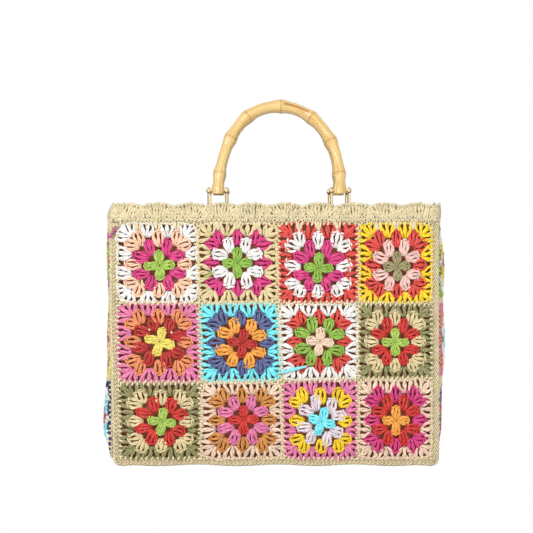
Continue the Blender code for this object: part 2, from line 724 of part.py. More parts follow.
def add_trim():
    add_piece("front_edging", loft(edging_loops(-1)), TRIM_LOOK)
    add_piece("back_edging", loft(edging_loops(1)), TRIM_LOOK)
    add_piece("base_panel", loft(base_loops()), TRIM_LOOK)
    rows = rim_ring(RIM_FLOOR, lambda x, y: RIM_ROWS_TOP, 10, 4, 2)
    add_piece("rim_rows", loft(rows, closed=True), TRIM_LOOK)
    steps = 4 * math.ceil(2 * OUTER_X / SCALLOP_PITCH)
    shells = rim_ring(SHELL_FLOOR, scallop_top, steps, 10, 2)
    add_piece("shell_edging", loft(shells, closed=True), TRIM_LOOK)
    add_piece("lining", loft(lining_loops()), LINING_LOOK)


def build():
    clear_scene()
    add_squares()
    add_trim()
    for face, sign in (("front", -1), ("back", 1)):
        add_handle(face, sign)
        for side, x in foot_places():
            add_shackle(face, side, x, sign)
    bpy.context.view_layer.update()


build()
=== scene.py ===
import math

import bpy
import numpy as np
from mathutils import Matrix, Vector


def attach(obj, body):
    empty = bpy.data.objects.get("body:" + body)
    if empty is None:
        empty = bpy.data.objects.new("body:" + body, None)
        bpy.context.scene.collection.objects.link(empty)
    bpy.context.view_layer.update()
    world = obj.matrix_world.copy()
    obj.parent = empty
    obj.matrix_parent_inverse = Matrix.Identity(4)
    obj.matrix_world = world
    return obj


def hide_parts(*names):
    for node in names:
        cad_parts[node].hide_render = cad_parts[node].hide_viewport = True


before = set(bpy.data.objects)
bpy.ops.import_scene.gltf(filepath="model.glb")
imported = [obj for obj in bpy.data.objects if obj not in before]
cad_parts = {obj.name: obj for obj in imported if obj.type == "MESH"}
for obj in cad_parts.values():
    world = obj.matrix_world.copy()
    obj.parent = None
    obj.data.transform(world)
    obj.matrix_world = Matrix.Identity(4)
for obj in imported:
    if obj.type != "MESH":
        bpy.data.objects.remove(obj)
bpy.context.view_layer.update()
bpy.ops.object.select_all(action="DESELECT")
mm = 0.001

# The wall's sizes and profiles, the same as the CAD's, in metres
wall = {
    "pitch": 0.085,
    "half": 0.04235,
    "frontHalf": 0.17,
    "floor": 0.0071,
    "top": 0.2621,
    "outerX": 0.17555,
    "outerY": 0.04805,
    "edgingX": 0.17355,
    "edgingY": 0.04605,
    "stripFloor": 0.00924,
    "stripPitch": 0.0842867,
    "bend": 0.014,
    "frontBulge": 0.0065,
    "sideBulge": 0.007,
    "crown": 0.001,
}
frontProfile = ((0.0, 0.0), (0.15, 0.70), (0.38, 1.0), (0.70, 0.80), (1.0, 0.40))
leftProfile = ((0.0, 0.0), (0.12, 1.0), (0.3, 0.8), (0.45, 0.4), (0.75, 0.4), (1.0, 0.55))
rightProfile = ((0.0, 0.0), (0.15, 0.45), (0.45, 1.0), (0.80, 0.95), (1.0, 0.45))


def linear(red, green, blue):
    tones = [c / 255 for c in (red, green, blue)]
    return [c / 12.92 if c <= 0.04045 else ((c + 0.055) / 1.055) ** 2.4 for c in tones]


# Yarn colours as eye values from 0 to 255
yarns = {
    "beige": (221, 207, 169),
    "straw": (222, 205, 158),
    "white": (236, 234, 230),
    "lilacWhite": (226, 214, 220),
    "lime": (166, 196, 88),
    "green": (144, 184, 74),
    "magenta": (212, 62, 130),
    "orchid": (222, 126, 168),
    "palePink": (236, 196, 186),
    "peach": (238, 198, 168),
    "blush": (232, 206, 182),
    "coral": (216, 76, 66),
    "red": (204, 50, 42),
    "darkRed": (184, 44, 38),
    "orange": (228, 146, 98),
    "amber": (236, 166, 72),
    "ochre": (206, 142, 72),
    "yellow": (240, 208, 32),
    "paleYellow": (228, 212, 104),
    "olive": (146, 142, 96),
    "greyOlive": (158, 150, 106),
    "turquoise": (124, 230, 240),
    "slate": (92, 104, 150),
    "navy": (40, 48, 92),
    "orchidDeep": (178, 76, 132),
}
yarnOrder = list(yarns)


def smoothTable(table, share):
    share = np.clip(share, table[0][0], table[-1][0])
    value = np.full(np.shape(share), float(table[-1][1]))
    for (low, before), (high, after) in reversed(list(zip(table, table[1:]))):
        blend = (1 - np.cos(np.pi * (share - low) / (high - low))) / 2
        value = np.where(share <= high, before + (after - before) * blend, value)
    return value


def heightShare(z):
    return (z - wall["floor"]) / (wall["top"] - wall["floor"])


def frontBulge(x, z):
    across = np.maximum(0, 1 - (x / wall["frontHalf"]) ** 2)
    return wall["frontBulge"] * across * smoothTable(frontProfile, heightShare(z))


def sideBulge(x, y, z):
    across = np.maximum(0, 1 - (y / (wall["pitch"] / 2)) ** 2)
    share = heightShare(z)
    profile = np.where(x < 0, smoothTable(leftProfile, share), smoothTable(rightProfile, share))
    return wall["sideBulge"] * across * profile


def bendInset(z):
    below = np.maximum(0, wall["bend"] - z)
    return wall["bend"] - np.sqrt(np.maximum(0, wall["bend"] ** 2 - below**2))


def bulged(x, y, z, halfX, halfY):
    outY = frontBulge(x, z) * np.minimum(1, np.abs(y) / halfY) ** 6
    outX = sideBulge(x, y, z) * np.minimum(1, np.abs(x) / halfX) ** 6
    return np.stack([x + np.sign(x) * outX, y + np.sign(y) * outY, z], axis=-1)


def squareCrown(u, v):
    return wall["crown"] * (1 - (u / wall["half"]) ** 2) * (1 - (v / wall["half"]) ** 2)


def pulledIn(u, v):
    # The seams draw the corners in
    shrink = 1 - 0.009 * np.minimum(1, np.minimum(np.abs(u), np.abs(v)) / wall["half"])
    return u * shrink, v * shrink


# How far the front's seams are drawn aside at their crossings, top row first, in millimetres
seamDrift = {
    "across": (
        (0.0, -2.6, -1.3, 0.2, 0.0),
        (0.0, -0.4, -1.0, 0.0, 0.0),
        (1.6, 1.6, 2.0, -0.3, 0.0),
        (3.6, 1.2, 4.6, -0.6, 0.0),
    ),
    "up": (
        (0.0, 0.0, 0.0, 0.0, 0.0),
        (-1.6, -2.0, -1.6, -1.8, -2.6),
        (-2.4, -2.2, -0.4, 1.4, 2.2),
        (0.0, 0.0, 0.0, 0.0, 0.0),
    ),
}
columnSeams = (-0.17, -0.08075, 0.0051, 0.0901, 0.17)


def driftAt(x, z):
    # Smoothly read between the seam crossings
    column = np.interp(x, columnSeams, np.arange(5))
    row = np.clip((wall["top"] - z) / wall["pitch"], 0, 3)
    c, r = np.minimum(column.astype(int), 3), np.minimum(row.astype(int), 2)
    a, b = column - c, row - r
    b = b * b * (3 - 2 * b)
    drifts = []
    for key in ("across", "up"):
        table = np.array(seamDrift[key]) * mm
        upper = table[r, c] * (1 - a) + table[r, c + 1] * a
        lower = table[r + 1, c] * (1 - a) + table[r + 1, c + 1] * a
        drifts.append(upper * (1 - b) + lower * b)
    return drifts


def frontPlace(sign, centre, stretch, heart):
    # heart is how far the flower sits off the middle of its square, in millimetres
    def place(chart):
        u, v = chart[..., 0], chart[..., 1]
        near = (1 - np.minimum(1, np.abs(u / wall["half"])) ** 2) * (1 - np.minimum(1, np.abs(v / wall["half"])) ** 2)
        u, v = pulledIn(u + heart[0] * mm * near, v + heart[1] * mm * near)
        x = centre[0] - sign * u * stretch
        z = centre[1] + v
        if sign < 0:
            across, up = driftAt(x, z)
            x, z = x + across, z + up
        y = wall["outerY"] + frontBulge(x, z) + squareCrown(u, v) + chart[..., 2]
        return np.stack([x, sign * y, z], axis=-1)

    return place


def sidePlace(sign, centre):
    def place(chart):
        u, v = pulledIn(chart[..., 0], chart[..., 1])
        y = centre[0] + sign * u
        z = centre[1] + v * 0.99160
        lift = chart[..., 2]
        x = wall["outerX"] - bendInset(z) + sideBulge(np.full_like(y, sign), y, z) + squareCrown(u, v)
        tilt = np.maximum(0, 1 - z / wall["bend"])
        x = x + lift * np.sqrt(1 - tilt**2)
        return np.stack([sign * x, y, z - lift * tilt], axis=-1)

    return place


# Tubes of yarn, gathered in a skein and then made into one mesh


def addStrands(skein, lines, radii, sides, yarn, tone, flat=1.0):
    lines = np.asarray(lines, float)
    count, steps = lines.shape[:2]
    skein.append(
        {
            "lines": lines,
            "radii": np.broadcast_to(np.asarray(radii, float), (count, steps)),
            "sides": sides,
            "yarn": np.broadcast_to(np.asarray(yarn, int), (count,)),
            "tone": np.broadcast_to(np.asarray(tone, float), (count,)),
            "flat": flat,
        }
    )


def tubeArrays(strand):
    lines, radii, sides = strand["lines"], strand["radii"], strand["sides"]
    count, steps = lines.shape[:2]
    along = np.gradient(lines, axis=1)
    along /= np.maximum(1e-12, np.linalg.norm(along, axis=2, keepdims=True))
    upright = np.abs(along[:, :1, 2:3]) < 0.9
    across = np.cross(along[:, 0], np.where(upright[:, 0], (0.0, 0.0, 1.0), (1.0, 0.0, 0.0)))
    rings = np.empty((count, steps, sides, 3))
    for i in range(steps):
        axis = along[:, i]
        across = across - (across * axis).sum(1, keepdims=True) * axis
        across /= np.maximum(1e-12, np.linalg.norm(across, axis=1, keepdims=True))
        other = np.cross(axis, across) * strand["flat"]
        for k in range(sides):
            turn = math.tau * k / sides
            arm = math.cos(turn) * across + math.sin(turn) * other
            rings[:, i, k] = lines[:, i] + radii[:, i, None] * arm
    reach = np.linalg.norm(np.diff(lines, axis=1), axis=2)
    travelled = np.concatenate([np.zeros((count, 1)), np.cumsum(reach, axis=1)], axis=1)
    base = (np.arange(count) * steps * sides)[:, None, None]
    i = np.arange(steps - 1)[None, :, None]
    k = np.arange(sides)[None, None, :]
    j = (k + 1) % sides
    quads = np.stack(
        [base + i * sides + k, base + i * sides + j, base + (i + 1) * sides + j, base + (i + 1) * sides + k],
        axis=-1,
    )
    shape = (count, steps - 1, sides)
    near = np.broadcast_to(travelled[:, :-1, None] * 100, shape)
    far = np.broadcast_to(travelled[:, 1:, None] * 100, shape)
    left = np.broadcast_to(k / sides, shape)
    right = np.broadcast_to((k + 1) / sides, shape)
    uvs = np.stack(
        [np.stack([near, left], -1), np.stack([near, right], -1), np.stack([far, right], -1), np.stack([far, left], -1)],
        axis=-2,
    )
    ends = np.arange(sides)
    first = (np.arange(count) * steps * sides)[:, None] + ends[::-1]
    last = (np.arange(count) * steps * sides)[:, None] + (steps - 1) * sides + ends
    caps = np.concatenate([first, last])
    capYarn = np.concatenate([strand["yarn"], strand["yarn"]])
    return {
        "points": rings.reshape(-1, 3),
        "quads": quads.reshape(-1, 4),
        "uvs": uvs.reshape(-1, 2),
        "caps": caps,
        "quadYarn": np.repeat(strand["yarn"], (steps - 1) * sides),
        "capYarn": capYarn,
        "tone": np.repeat(strand["tone"], steps * sides),
    }


def meshObject(name, points, faceSets, uvs, tones, slots):
    mesh = bpy.data.meshes.new(name)
    corners = np.concatenate([f.reshape(-1) for f in faceSets])
    sizes = np.concatenate([np.full(len(f), f.shape[1]) for f in faceSets])
    starts = np.concatenate([[0], np.cumsum(sizes)[:-1]])
    mesh.vertices.add(len(points))
    mesh.vertices.foreach_set("co", points.astype(np.float32).reshape(-1))
    mesh.loops.add(len(corners))
    mesh.loops.foreach_set("vertex_index", corners.astype(np.int32))
    mesh.polygons.add(len(sizes))
    mesh.polygons.foreach_set("loop_start", starts.astype(np.int32))
    mesh.polygons.foreach_set("material_index", slots.astype(np.int32))
    mesh.polygons.foreach_set("use_smooth", np.ones(len(sizes), bool))
    layer = mesh.uv_layers.new(name="UVMap")
    padded = np.zeros((len(corners), 2), np.float32)
    padded[: len(uvs)] = uvs
    layer.data.foreach_set("uv", padded.reshape(-1))
    tone = mesh.attributes.new("tone", "FLOAT", "POINT")
    tone.data.foreach_set("value", tones.astype(np.float32))
    mesh.update(calc_edges=True)
    mesh.validate()
    made = bpy.data.objects.new(name, mesh)
    bpy.context.scene.collection.objects.link(made)
    return made


def knit(name, skein):
    parts = [tubeArrays(s) for s in skein]
    offset = 0
    quads, caps = [], {}
    capYarns = {}
    for part in parts:
        quads.append(part["quads"] + offset)
        caps.setdefault(part["caps"].shape[1], []).append(part["caps"] + offset)
        capYarns.setdefault(part["caps"].shape[1], []).append(part["capYarn"])
        offset += len(part["points"])
    faceSets = [np.concatenate(quads)] + [np.concatenate(c) for c in caps.values()]
    used = np.concatenate([p["quadYarn"] for p in parts] + [np.concatenate(c) for c in capYarns.values()])
    present = sorted(set(used.tolist()))
    slotOf = np.zeros(len(yarnOrder), int)
    for slot, yarn in enumerate(present):
        slotOf[yarn] = slot
    made = meshObject(
        name,
        np.concatenate([p["points"] for p in parts]),
        faceSets,
        np.concatenate([p["uvs"] for p in parts]),
        np.concatenate([p["tone"] for p in parts]),
        slotOf[used],
    )
    for yarn in present:
        made.data.materials.append(yarnMaterials[yarnOrder[yarn]])
    return made


# Shared surface effects


def newGroup(name, inputs, outputs):
    group = bpy.data.node_groups.new(name, "ShaderNodeTree")
    for label, kind, value in inputs:
        socket = group.interface.new_socket(label, in_out="INPUT", socket_type=kind)
        if value is not None:
            socket.default_value = value
    for label, kind in outputs:
        group.interface.new_socket(label, in_out="OUTPUT", socket_type=kind)
    return group, group.nodes.new("NodeGroupInput"), group.nodes.new("NodeGroupOutput")


def maths(group, operation, first, second=None):
    node = group.nodes.new("ShaderNodeMath")
    node.operation = operation
    for socket, value in zip(node.inputs, (first, second)):
        if value is None:
            continue
        if isinstance(value, (int, float)):
            socket.default_value = value
        else:
            group.links.new(value, socket)
    return node.outputs[0]


def mixed(group, factor, first, second):
    node = group.nodes.new("ShaderNodeMix")
    node.data_type = "RGBA"
    for socket, value in ((node.inputs[0], factor), (node.inputs[6], first), (node.inputs[7], second)):
        if isinstance(value, (int, float, tuple)):
            socket.default_value = value
        else:
            group.links.new(value, socket)
    return node.outputs[2]


def ranged(group, value, fromLow, fromHigh, toLow, toHigh):
    node = group.nodes.new("ShaderNodeMapRange")
    for socket, given in zip(node.inputs, (value, fromLow, fromHigh, toLow, toHigh)):
        if isinstance(given, (int, float)):
            socket.default_value = given
        else:
            group.links.new(given, socket)
    return node.outputs[0]


def makeYarnGroup():
    # Paper yarn: fine fibres along the strand, slow folds round it whose valleys are painted shade in the colour, and a
    # tone for each strand
    group, given, result = newGroup(
        "paperYarn",
        [("Yarn", "NodeSocketColor", (0.5, 0.5, 0.5, 1)), ("Deep", "NodeSocketColor", (0.2, 0.2, 0.2, 1))],
        [("Color", "NodeSocketColor"), ("Roughness", "NodeSocketFloat"), ("Height", "NodeSocketFloat")],
    )
    uv = group.nodes.new("ShaderNodeUVMap")
    uv.uv_map = "UVMap"
    split = group.nodes.new("ShaderNodeSeparateXYZ")
    group.links.new(uv.outputs[0], split.inputs[0])
    along, round_ = split.outputs[0], split.outputs[1]
    tone = group.nodes.new("ShaderNodeAttribute")
    tone.attribute_name = "tone"
    join = group.nodes.new("ShaderNodeCombineXYZ")
    group.links.new(maths(group, "MULTIPLY", along, 1.4), join.inputs[0])
    group.links.new(maths(group, "MULTIPLY", round_, 9.0), join.inputs[1])
    group.links.new(maths(group, "MULTIPLY", tone.outputs["Fac"], 40.0), join.inputs[2])
    fibre = group.nodes.new("ShaderNodeTexNoise")
    fibre.inputs["Scale"].default_value = 1.6
    fibre.inputs["Detail"].default_value = 3.0
    group.links.new(join.outputs[0], fibre.inputs["Vector"])
    turn = maths(group, "ADD", maths(group, "MULTIPLY", along, 9.0), maths(group, "MULTIPLY", round_, math.tau))
    fold = maths(group, "SINE", maths(group, "ADD", turn, maths(group, "MULTIPLY", tone.outputs["Fac"], 30.0)))
    streak = ranged(group, fibre.outputs[0], 0.3, 0.7, 0.0, 1.0)
    shade = maths(group, "ADD", maths(group, "MULTIPLY", streak, 0.55), ranged(group, fold, -1.0, 1.0, 0.0, 0.45))
    # The colour goes towards the deep tone in low fibre streaks and, as painted shade, in the valleys of the folds
    colour = mixed(group, ranged(group, shade, 0.1, 0.9, 0.55, 0.0), given.outputs[0], given.outputs[1])
    bright = group.nodes.new("ShaderNodeHueSaturation")
    group.links.new(colour, bright.inputs["Color"])
    group.links.new(ranged(group, tone.outputs["Fac"], -1.0, 1.0, 0.84, 1.12), bright.inputs["Value"])
    group.links.new(bright.outputs[0], result.inputs[0])
    group.links.new(ranged(group, streak, 0.0, 1.0, 0.42, 0.62), result.inputs[1])
    group.links.new(shade, result.inputs[2])
    return group


def principled(name, colour, roughness, metallic=0.0, coat=0.0):
    material = bpy.data.materials.new(name)
    material.use_nodes = True
    shader = material.node_tree.nodes["Principled BSDF"]
    shader.inputs["Base Color"].default_value = (*colour, 1)
    shader.inputs["Roughness"].default_value = roughness
    shader.inputs["Metallic"].default_value = metallic
    shader.inputs["Coat Weight"].default_value = coat
    return material, shader


def addBump(material, shader, height, strength, distance):
    bump = material.node_tree.nodes.new("ShaderNodeBump")
    bump.inputs["Strength"].default_value = strength
    bump.inputs["Distance"].default_value = distance
    material.node_tree.links.new(height, bump.inputs["Height"])
    material.node_tree.links.new(bump.outputs[0], shader.inputs["Normal"])


yarnGroup = makeYarnGroup()
yarnMaterials = {}
for yarnName, shown in yarns.items():
    colour = linear(*shown)
    # A darker copy of each yarn, mixed in for the fibre streaks and for the painted shade in the folds
    deep = [c**1.25 * 0.62 for c in colour]
    material, shader = principled("yarn_" + yarnName, colour, 0.5, coat=0.08)
    effect = material.node_tree.nodes.new("ShaderNodeGroup")
    effect.node_tree = yarnGroup
    effect.inputs["Yarn"].default_value = (*colour, 1)
    effect.inputs["Deep"].default_value = (*deep, 1)
    links = material.node_tree.links
    links.new(effect.outputs["Color"], shader.inputs["Base Color"])
    links.new(effect.outputs["Roughness"], shader.inputs["Roughness"])
    addBump(material, shader, effect.outputs["Height"], 0.5, 0.0004)
    yarnMaterials[yarnName] = material
print("materials")

# Granny squares: clusters of three double crochets in four rounds

rounds = (
    {"bases": ((0.0, 1.6),), "tops": ((0.0, 14.7),), "spread": 3.4, "shape": "petal", "height": 0.9},
    {"bases": ((-7.2, 10.2), (7.2, 10.2)), "tops": ((-10.2, 25.8), (10.2, 25.8)), "spread": 4.2, "shape": "petal", "height": 0.45},
    {
        "bases": ((-18.0, 19.6), (0.0, 18.6), (18.0, 19.6)),
        "tops": ((-21.2, 34.2), (0.0, 34.4), (21.2, 34.2)),
        "spread": 4.9,
        "shape": "petal",
        "height": 0.0,
    },
    {
        "bases": ((-27.8, 28.4), (-10.6, 28.0), (10.6, 28.0), (27.8, 28.4)),
        "tops": ((-30.6, 41.4), (-10.2, 41.4), (10.2, 41.4), (30.6, 41.4)),
        "spread": 6.8,
        "shape": "fan",
        "height": -0.3,
    },
)
# How a cluster's outer posts stand off its middle, from base to top
shapes = {
    "petal": ((0.0, 0.30), (0.3, 0.80), (0.62, 1.0), (0.85, 0.97), (1.0, 0.80)),
    "pointed": ((0.0, 0.35), (0.22, 0.90), (0.45, 1.05), (0.75, 0.88), (1.0, 0.5)),
    "fan": ((0.0, 0.22), (0.3, 0.62), (0.62, 0.92), (0.85, 1.03), (1.0, 1.0)),
}
stitch = {"ply": 1.0, "radius": 1.34, "steps": 6, "rise": 1.1, "topRadius": 1.15}


def stitchPosts(clusters, ring, random):
    # Two twisted strands for each double crochet, in chart millimetres
    base, top, hand, width = (np.array([c[k] for c in clusters]) for k in ("base", "top", "hand", "width"))
    count = len(base)
    share = np.linspace(0, 1, stitch["steps"])[None, :]
    lean = top - base
    length = np.linalg.norm(lean, axis=1, keepdims=True)
    ahead = lean / length
    side = np.stack([ahead[:, 1], -ahead[:, 0]], axis=1)
    fan = ring["shape"] == "fan"
    stand = smoothTable(shapes[ring["shape"]], share)
    short = 1 - (0.02 if fan else 0.10) * np.abs(hand)[:, None]
    middle = base[:, None, :] + (ahead * length)[:, None, :] * (share * short)[..., None]
    middle = middle + side[:, None, :] * (hand * width)[:, None, None] * stand[..., None]
    phase = random.uniform(0, math.tau, (count, 1))
    turns = random.uniform(0.5, 0.95, (count, 1)) * random.choice((-1, 1, 1), (count, 1))
    lines, radii = [], []
    reach = stitch["ply"] * (0.6 + 0.4 * np.sin(np.pi * np.minimum(1, share * 0.8 + 0.12)))
    reach = reach * (1 + (0.55 if fan else 0.1) * share**1.5)
    for ply in (0, 1):
        turn = phase + math.tau * turns * share + math.pi * ply
        flat = middle + side[:, None, :] * (np.cos(turn) * reach)[..., None]
        height = ring["height"] - 0.9 + stitch["rise"] * np.sin(np.pi * share) + 0.4 * share
        height = height + np.sin(turn) * reach * 0.85
        lines.append(np.concatenate([flat, height[..., None]], axis=-1))
        fat = stitch["radius"] * (0.74 + 0.26 * np.sin(np.pi * (0.1 + 0.8 * share))) * (1 + (0.24 * share if fan else 0))
        radii.append(fat * random.uniform(0.9, 1.1, (count, 1)))
    return np.concatenate(lines), np.concatenate(radii), middle[:, -1], ahead


def stitchTops(top, ahead, gap, level, random):
    # A slanting loop over the head of each double crochet
    count = len(top)
    share = np.linspace(0, 1, 5)[None, :]
    side = np.stack([ahead[:, 1], -ahead[:, 0]], axis=1)
    slide = (share - 0.5) * 1.45 * gap[:, None]
    slant = random.uniform(0.6, 1.5, (count, 1))
    out = -0.75 * slant + slant * share * 1.1 + 0.6 * np.sin(np.pi * share) + random.uniform(-0.2, 0.2, (count, 1))
    flat = top[:, None, :] + side[:, None, :] * slide[..., None] + ahead[:, None, :] * out[..., None]
    height = level + 0.1 + 0.9 * np.sin(np.pi * share) + np.zeros((count, 1))
    radii = stitch["topRadius"] * (0.65 + 0.35 * np.sin(np.pi * share)) + np.zeros((count, 1))
    return np.concatenate([flat, height[..., None]], axis=-1), radii


def turned(points, quarter):
    cos = round(math.cos(quarter * math.pi / 2))
    sin = round(math.sin(quarter * math.pi / 2))
    return points @ np.array([[cos, sin], [-sin, cos]])


def roundClusters(ring, twist, fullness, random):
    turn = math.radians(twist)
    spin = np.array([[math.cos(turn), math.sin(turn)], [-math.sin(turn), math.cos(turn)]])
    clusters = []
    for quarter in range(4):
        for base, top in zip(ring["bases"], ring["tops"]):
            base = turned(np.array(base) + random.uniform(-0.5, 0.5, 2), quarter) @ spin
            top = turned(np.array(top) + random.uniform(-0.6, 0.6, 2), quarter) @ spin
            width = ring["spread"] * fullness * random.uniform(0.92, 1.08)
            for hand in (-1, 0, 1):
                clusters.append({"base": base, "top": top, "hand": hand, "width": width})
    return clusters


def whipStitches(reach, length, pitch, phase, random):
    # Short stitches over the seam along the top edge of the chart
    share = np.linspace(0, 1, 5)
    lines = []
    for along in np.arange(-reach + pitch * phase, reach + 1.5, pitch):
        along += random.uniform(-0.6, 0.6)
        lean = random.uniform(-0.4, 2.6)
        low = reach + 2.8 - length * random.uniform(0.8, 1.12)
        across = along + lean * (share - 0.5)
        out = low + (reach + 3.0 - low) * share
        height = -0.8 + 2.0 * np.sin(np.pi * (0.08 + 0.84 * share))
        lines.append(np.column_stack([across, out, height]))
    return np.array(lines)


def grannySquare(name, place, colours, seed, style=None):
    random = np.random.default_rng(seed)
    chosen = style or {}
    style = {"twist": random.uniform(-6, 6), "fullness": random.uniform(0.95, 1.1), "pointed": False, "teeth": False}
    style.update(chosen)
    skein = []
    for k, (plain, colour) in enumerate(zip(rounds, colours)):
        ring = dict(plain)
        if k == 2 and style["pointed"]:
            ring["shape"] = "pointed"
            ring["height"] = -0.9
        twist = style["twist"] * (1.0, 0.5, 0.0, 0.0)[k]
        fullness = style["fullness"] if k == 3 else 1.0
        clusters = roundClusters(ring, twist, fullness, random)
        yarn = yarnOrder.index(colour)
        lines, radii, tops, ahead = stitchPosts(clusters, ring, random)
        tone = np.clip(random.normal(0, 0.5, len(lines)), -1, 1)
        addStrands(skein, place(lines * mm), radii * mm, 5, yarn, tone)
        gap = np.array([c["width"] for c in clusters]) * {"pointed": 0.55, "petal": 0.9, "fan": 0.95}[ring["shape"]]
        loops, loopRadii = stitchTops(tops, ahead, gap, ring["height"], random)
        tone = np.clip(random.normal(0.1, 0.45, len(loops)), -1, 1)
        addStrands(skein, place(loops * mm), loopRadii * mm, 4, yarn, tone)
    turn = np.linspace(0, math.tau, 9)
    eye = np.column_stack([1.7 * np.cos(turn), 1.7 * np.sin(turn), 0.6 + 0 * turn])[None]
    addStrands(skein, place(eye * mm), 0.95 * mm, 5, yarnOrder.index(colours[0]), 0.0)
    beige = yarnOrder.index("beige")
    for quarter in range(4):
        lines = whipStitches(40.6, 4.3, 5.6, 0.25 if quarter in (0, 1) else 0.75, random)
        lines = np.concatenate([turned(lines[..., :2], quarter), lines[..., 2:]], axis=-1)
        tone = np.clip(random.normal(0.15, 0.45, len(lines)), -1, 1)
        radii = np.array([0.85, 1.15, 1.3, 1.2, 0.9])
        addStrands(skein, place(lines * mm), radii * mm, 5, beige, tone)
        share = np.linspace(-1, 1, 26)
        cord = np.column_stack([share * 42.6, 42.3 + 0.3 * np.sin(share * 47), -0.7 + 0.4 * np.cos(share * 40)])
        cord = np.concatenate([turned(cord[:, :2], quarter), cord[:, 2:]], axis=-1)[None]
        addStrands(skein, place(cord * mm), 1.2 * mm, 5, beige, -0.3)
    if style["teeth"]:
        # Stitches of the rim that reach down between the fans of the top row
        share = np.linspace(0, 1, 5)
        lines = []
        for gap in (-20.4, 0.0, 20.4):
            for hand in (-1, -0.2, 1):
                across = gap + hand * (0.9 + 2.4 * share) + random.uniform(-0.4, 0.4)
                out = 35.0 + random.uniform(-1, 1) + 9.0 * share
                lines.append(np.column_stack([across, out, 0.2 + 1.1 * np.sin(np.pi * share)]))
        tone = np.clip(random.normal(0.1, 0.4, len(lines)), -1, 1)
        addStrands(skein, place(np.array(lines) * mm), np.array([0.8, 1.3, 1.5, 1.4, 1.1]) * mm, 5, beige, tone)
    return knit(name, skein)


# Colours from the middle out, where the flower sits, how its middle is turned and how full its outer round is
frontSquares = (
    (
        {"yarns": ("lime", "magenta", "peach", "white"), "heart": (2.6, -3.3), "twist": 4, "fullness": 0.84},
        {"yarns": ("green", "white", "magenta", "straw"), "heart": (-0.8, -0.4), "twist": 0, "fullness": 1.05, "pointed": True},
        {"yarns": ("green", "magenta", "white", "coral"), "heart": (0.0, -5.8), "twist": -3, "fullness": 1.12},
        {"yarns": ("greyOlive", "palePink", "coral", "yellow"), "heart": (2.0, -4.0), "twist": 3, "fullness": 0.98},
    ),
    (
        {"yarns": ("paleYellow", "darkRed", "orange", "orchid"), "heart": (1.3, 1.2), "twist": -16, "fullness": 1.0},
        {"yarns": ("darkRed", "amber", "slate", "turquoise"), "heart": (3.1, -0.8), "twist": -10, "fullness": 1.04},
        {"yarns": ("blush", "green", "coral", "white"), "heart": (1.0, 0.1), "twist": -6, "fullness": 1.12, "pointed": True},
        {"yarns": ("lime", "red", "straw", "olive"), "heart": (-0.3, -1.3), "twist": 0, "fullness": 1.12},
    ),
    (
        {"yarns": ("lime", "red", "straw", "olive"), "heart": (2.4, -0.8), "twist": -8, "fullness": 1.12},
        {"yarns": ("red", "orchid", "ochre", "blush"), "heart": (2.4, 1.1), "twist": 0, "fullness": 1.06},
        {"yarns": ("turquoise", "lilacWhite", "yellow", "orchid"), "heart": (1.6, -2.0), "twist": -18, "fullness": 0.95},
        {"yarns": ("amber", "red", "magenta", "blush"), "heart": (1.1, -1.6), "twist": 0, "fullness": 1.08},
    ),
)
backChart = (
    (
        ("yellow", "white", "orchid", "turquoise"),
        ("red", "blush", "green", "yellow"),
        ("ochre", "turquoise", "magenta", "white"),
        ("lime", "slate", "peach", "orchid"),
    ),
    (
        ("green", "paleYellow", "slate", "coral"),
        ("magenta", "white", "orange", "olive"),
        ("amber", "red", "turquoise", "blush"),
        ("lime", "orchid", "straw", "slate"),
    ),
    (
        ("orchid", "green", "red", "straw"),
        ("yellow", "slate", "peach", "white"),
        ("white", "magenta", "amber", "green"),
        ("turquoise", "blush", "olive", "red"),
    ),
)
sideChart = {
    "left": (
        ("yellow", "green", "orchidDeep", "straw"),
        ("magenta", "peach", "olive", "paleYellow"),
        ("red", "turquoise", "white", "navy"),
    ),
    "right": (
        ("orchid", "yellow", "white", "green"),
        ("turquoise", "white", "orange", "orchid"),
        ("lime", "magenta", "slate", "beige"),
    ),
}


def addSquares():
    for row in range(3):
        z = wall["top"] - (row + 0.5) * wall["pitch"]
        for column in range(4):
            left, right = columnSeams[column : column + 2]
            centre = ((left + right) / 2, z)
            stretch = (right - left) / wall["pitch"]
            seed = 100 + row * 10 + column
            chosen = dict(frontSquares[row][column])
            chosen["teeth"] = row == 0
            place = frontPlace(-1, centre, stretch, chosen.pop("heart"))
            made = grannySquare(f"stitches_front_{row + 1}_{column + 1}", place, chosen.pop("yarns"), seed, chosen)
            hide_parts(f"square_front_{row + 1}_{column + 1}")
            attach(made, "root")
            place = frontPlace(1, centre, stretch, (0.0, 0.0))
            made = grannySquare(f"stitches_back_{row + 1}_{column + 1}", place, backChart[row][column], seed + 50)
            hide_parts(f"square_back_{row + 1}_{column + 1}")
            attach(made, "root")
        sideZ = wall["top"] - (row + 0.5) * wall["stripPitch"]
        for face, sign in (("left", -1), ("right", 1)):
            node = f"square_{face}_{row + 1}"
            made = grannySquare("stitches_" + node[7:], sidePlace(sign, (0.0, sideZ)), sideChart[face][row], 200 + row + sign)
            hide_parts(node)
            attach(made, "root")


addSquares()
print("squares")

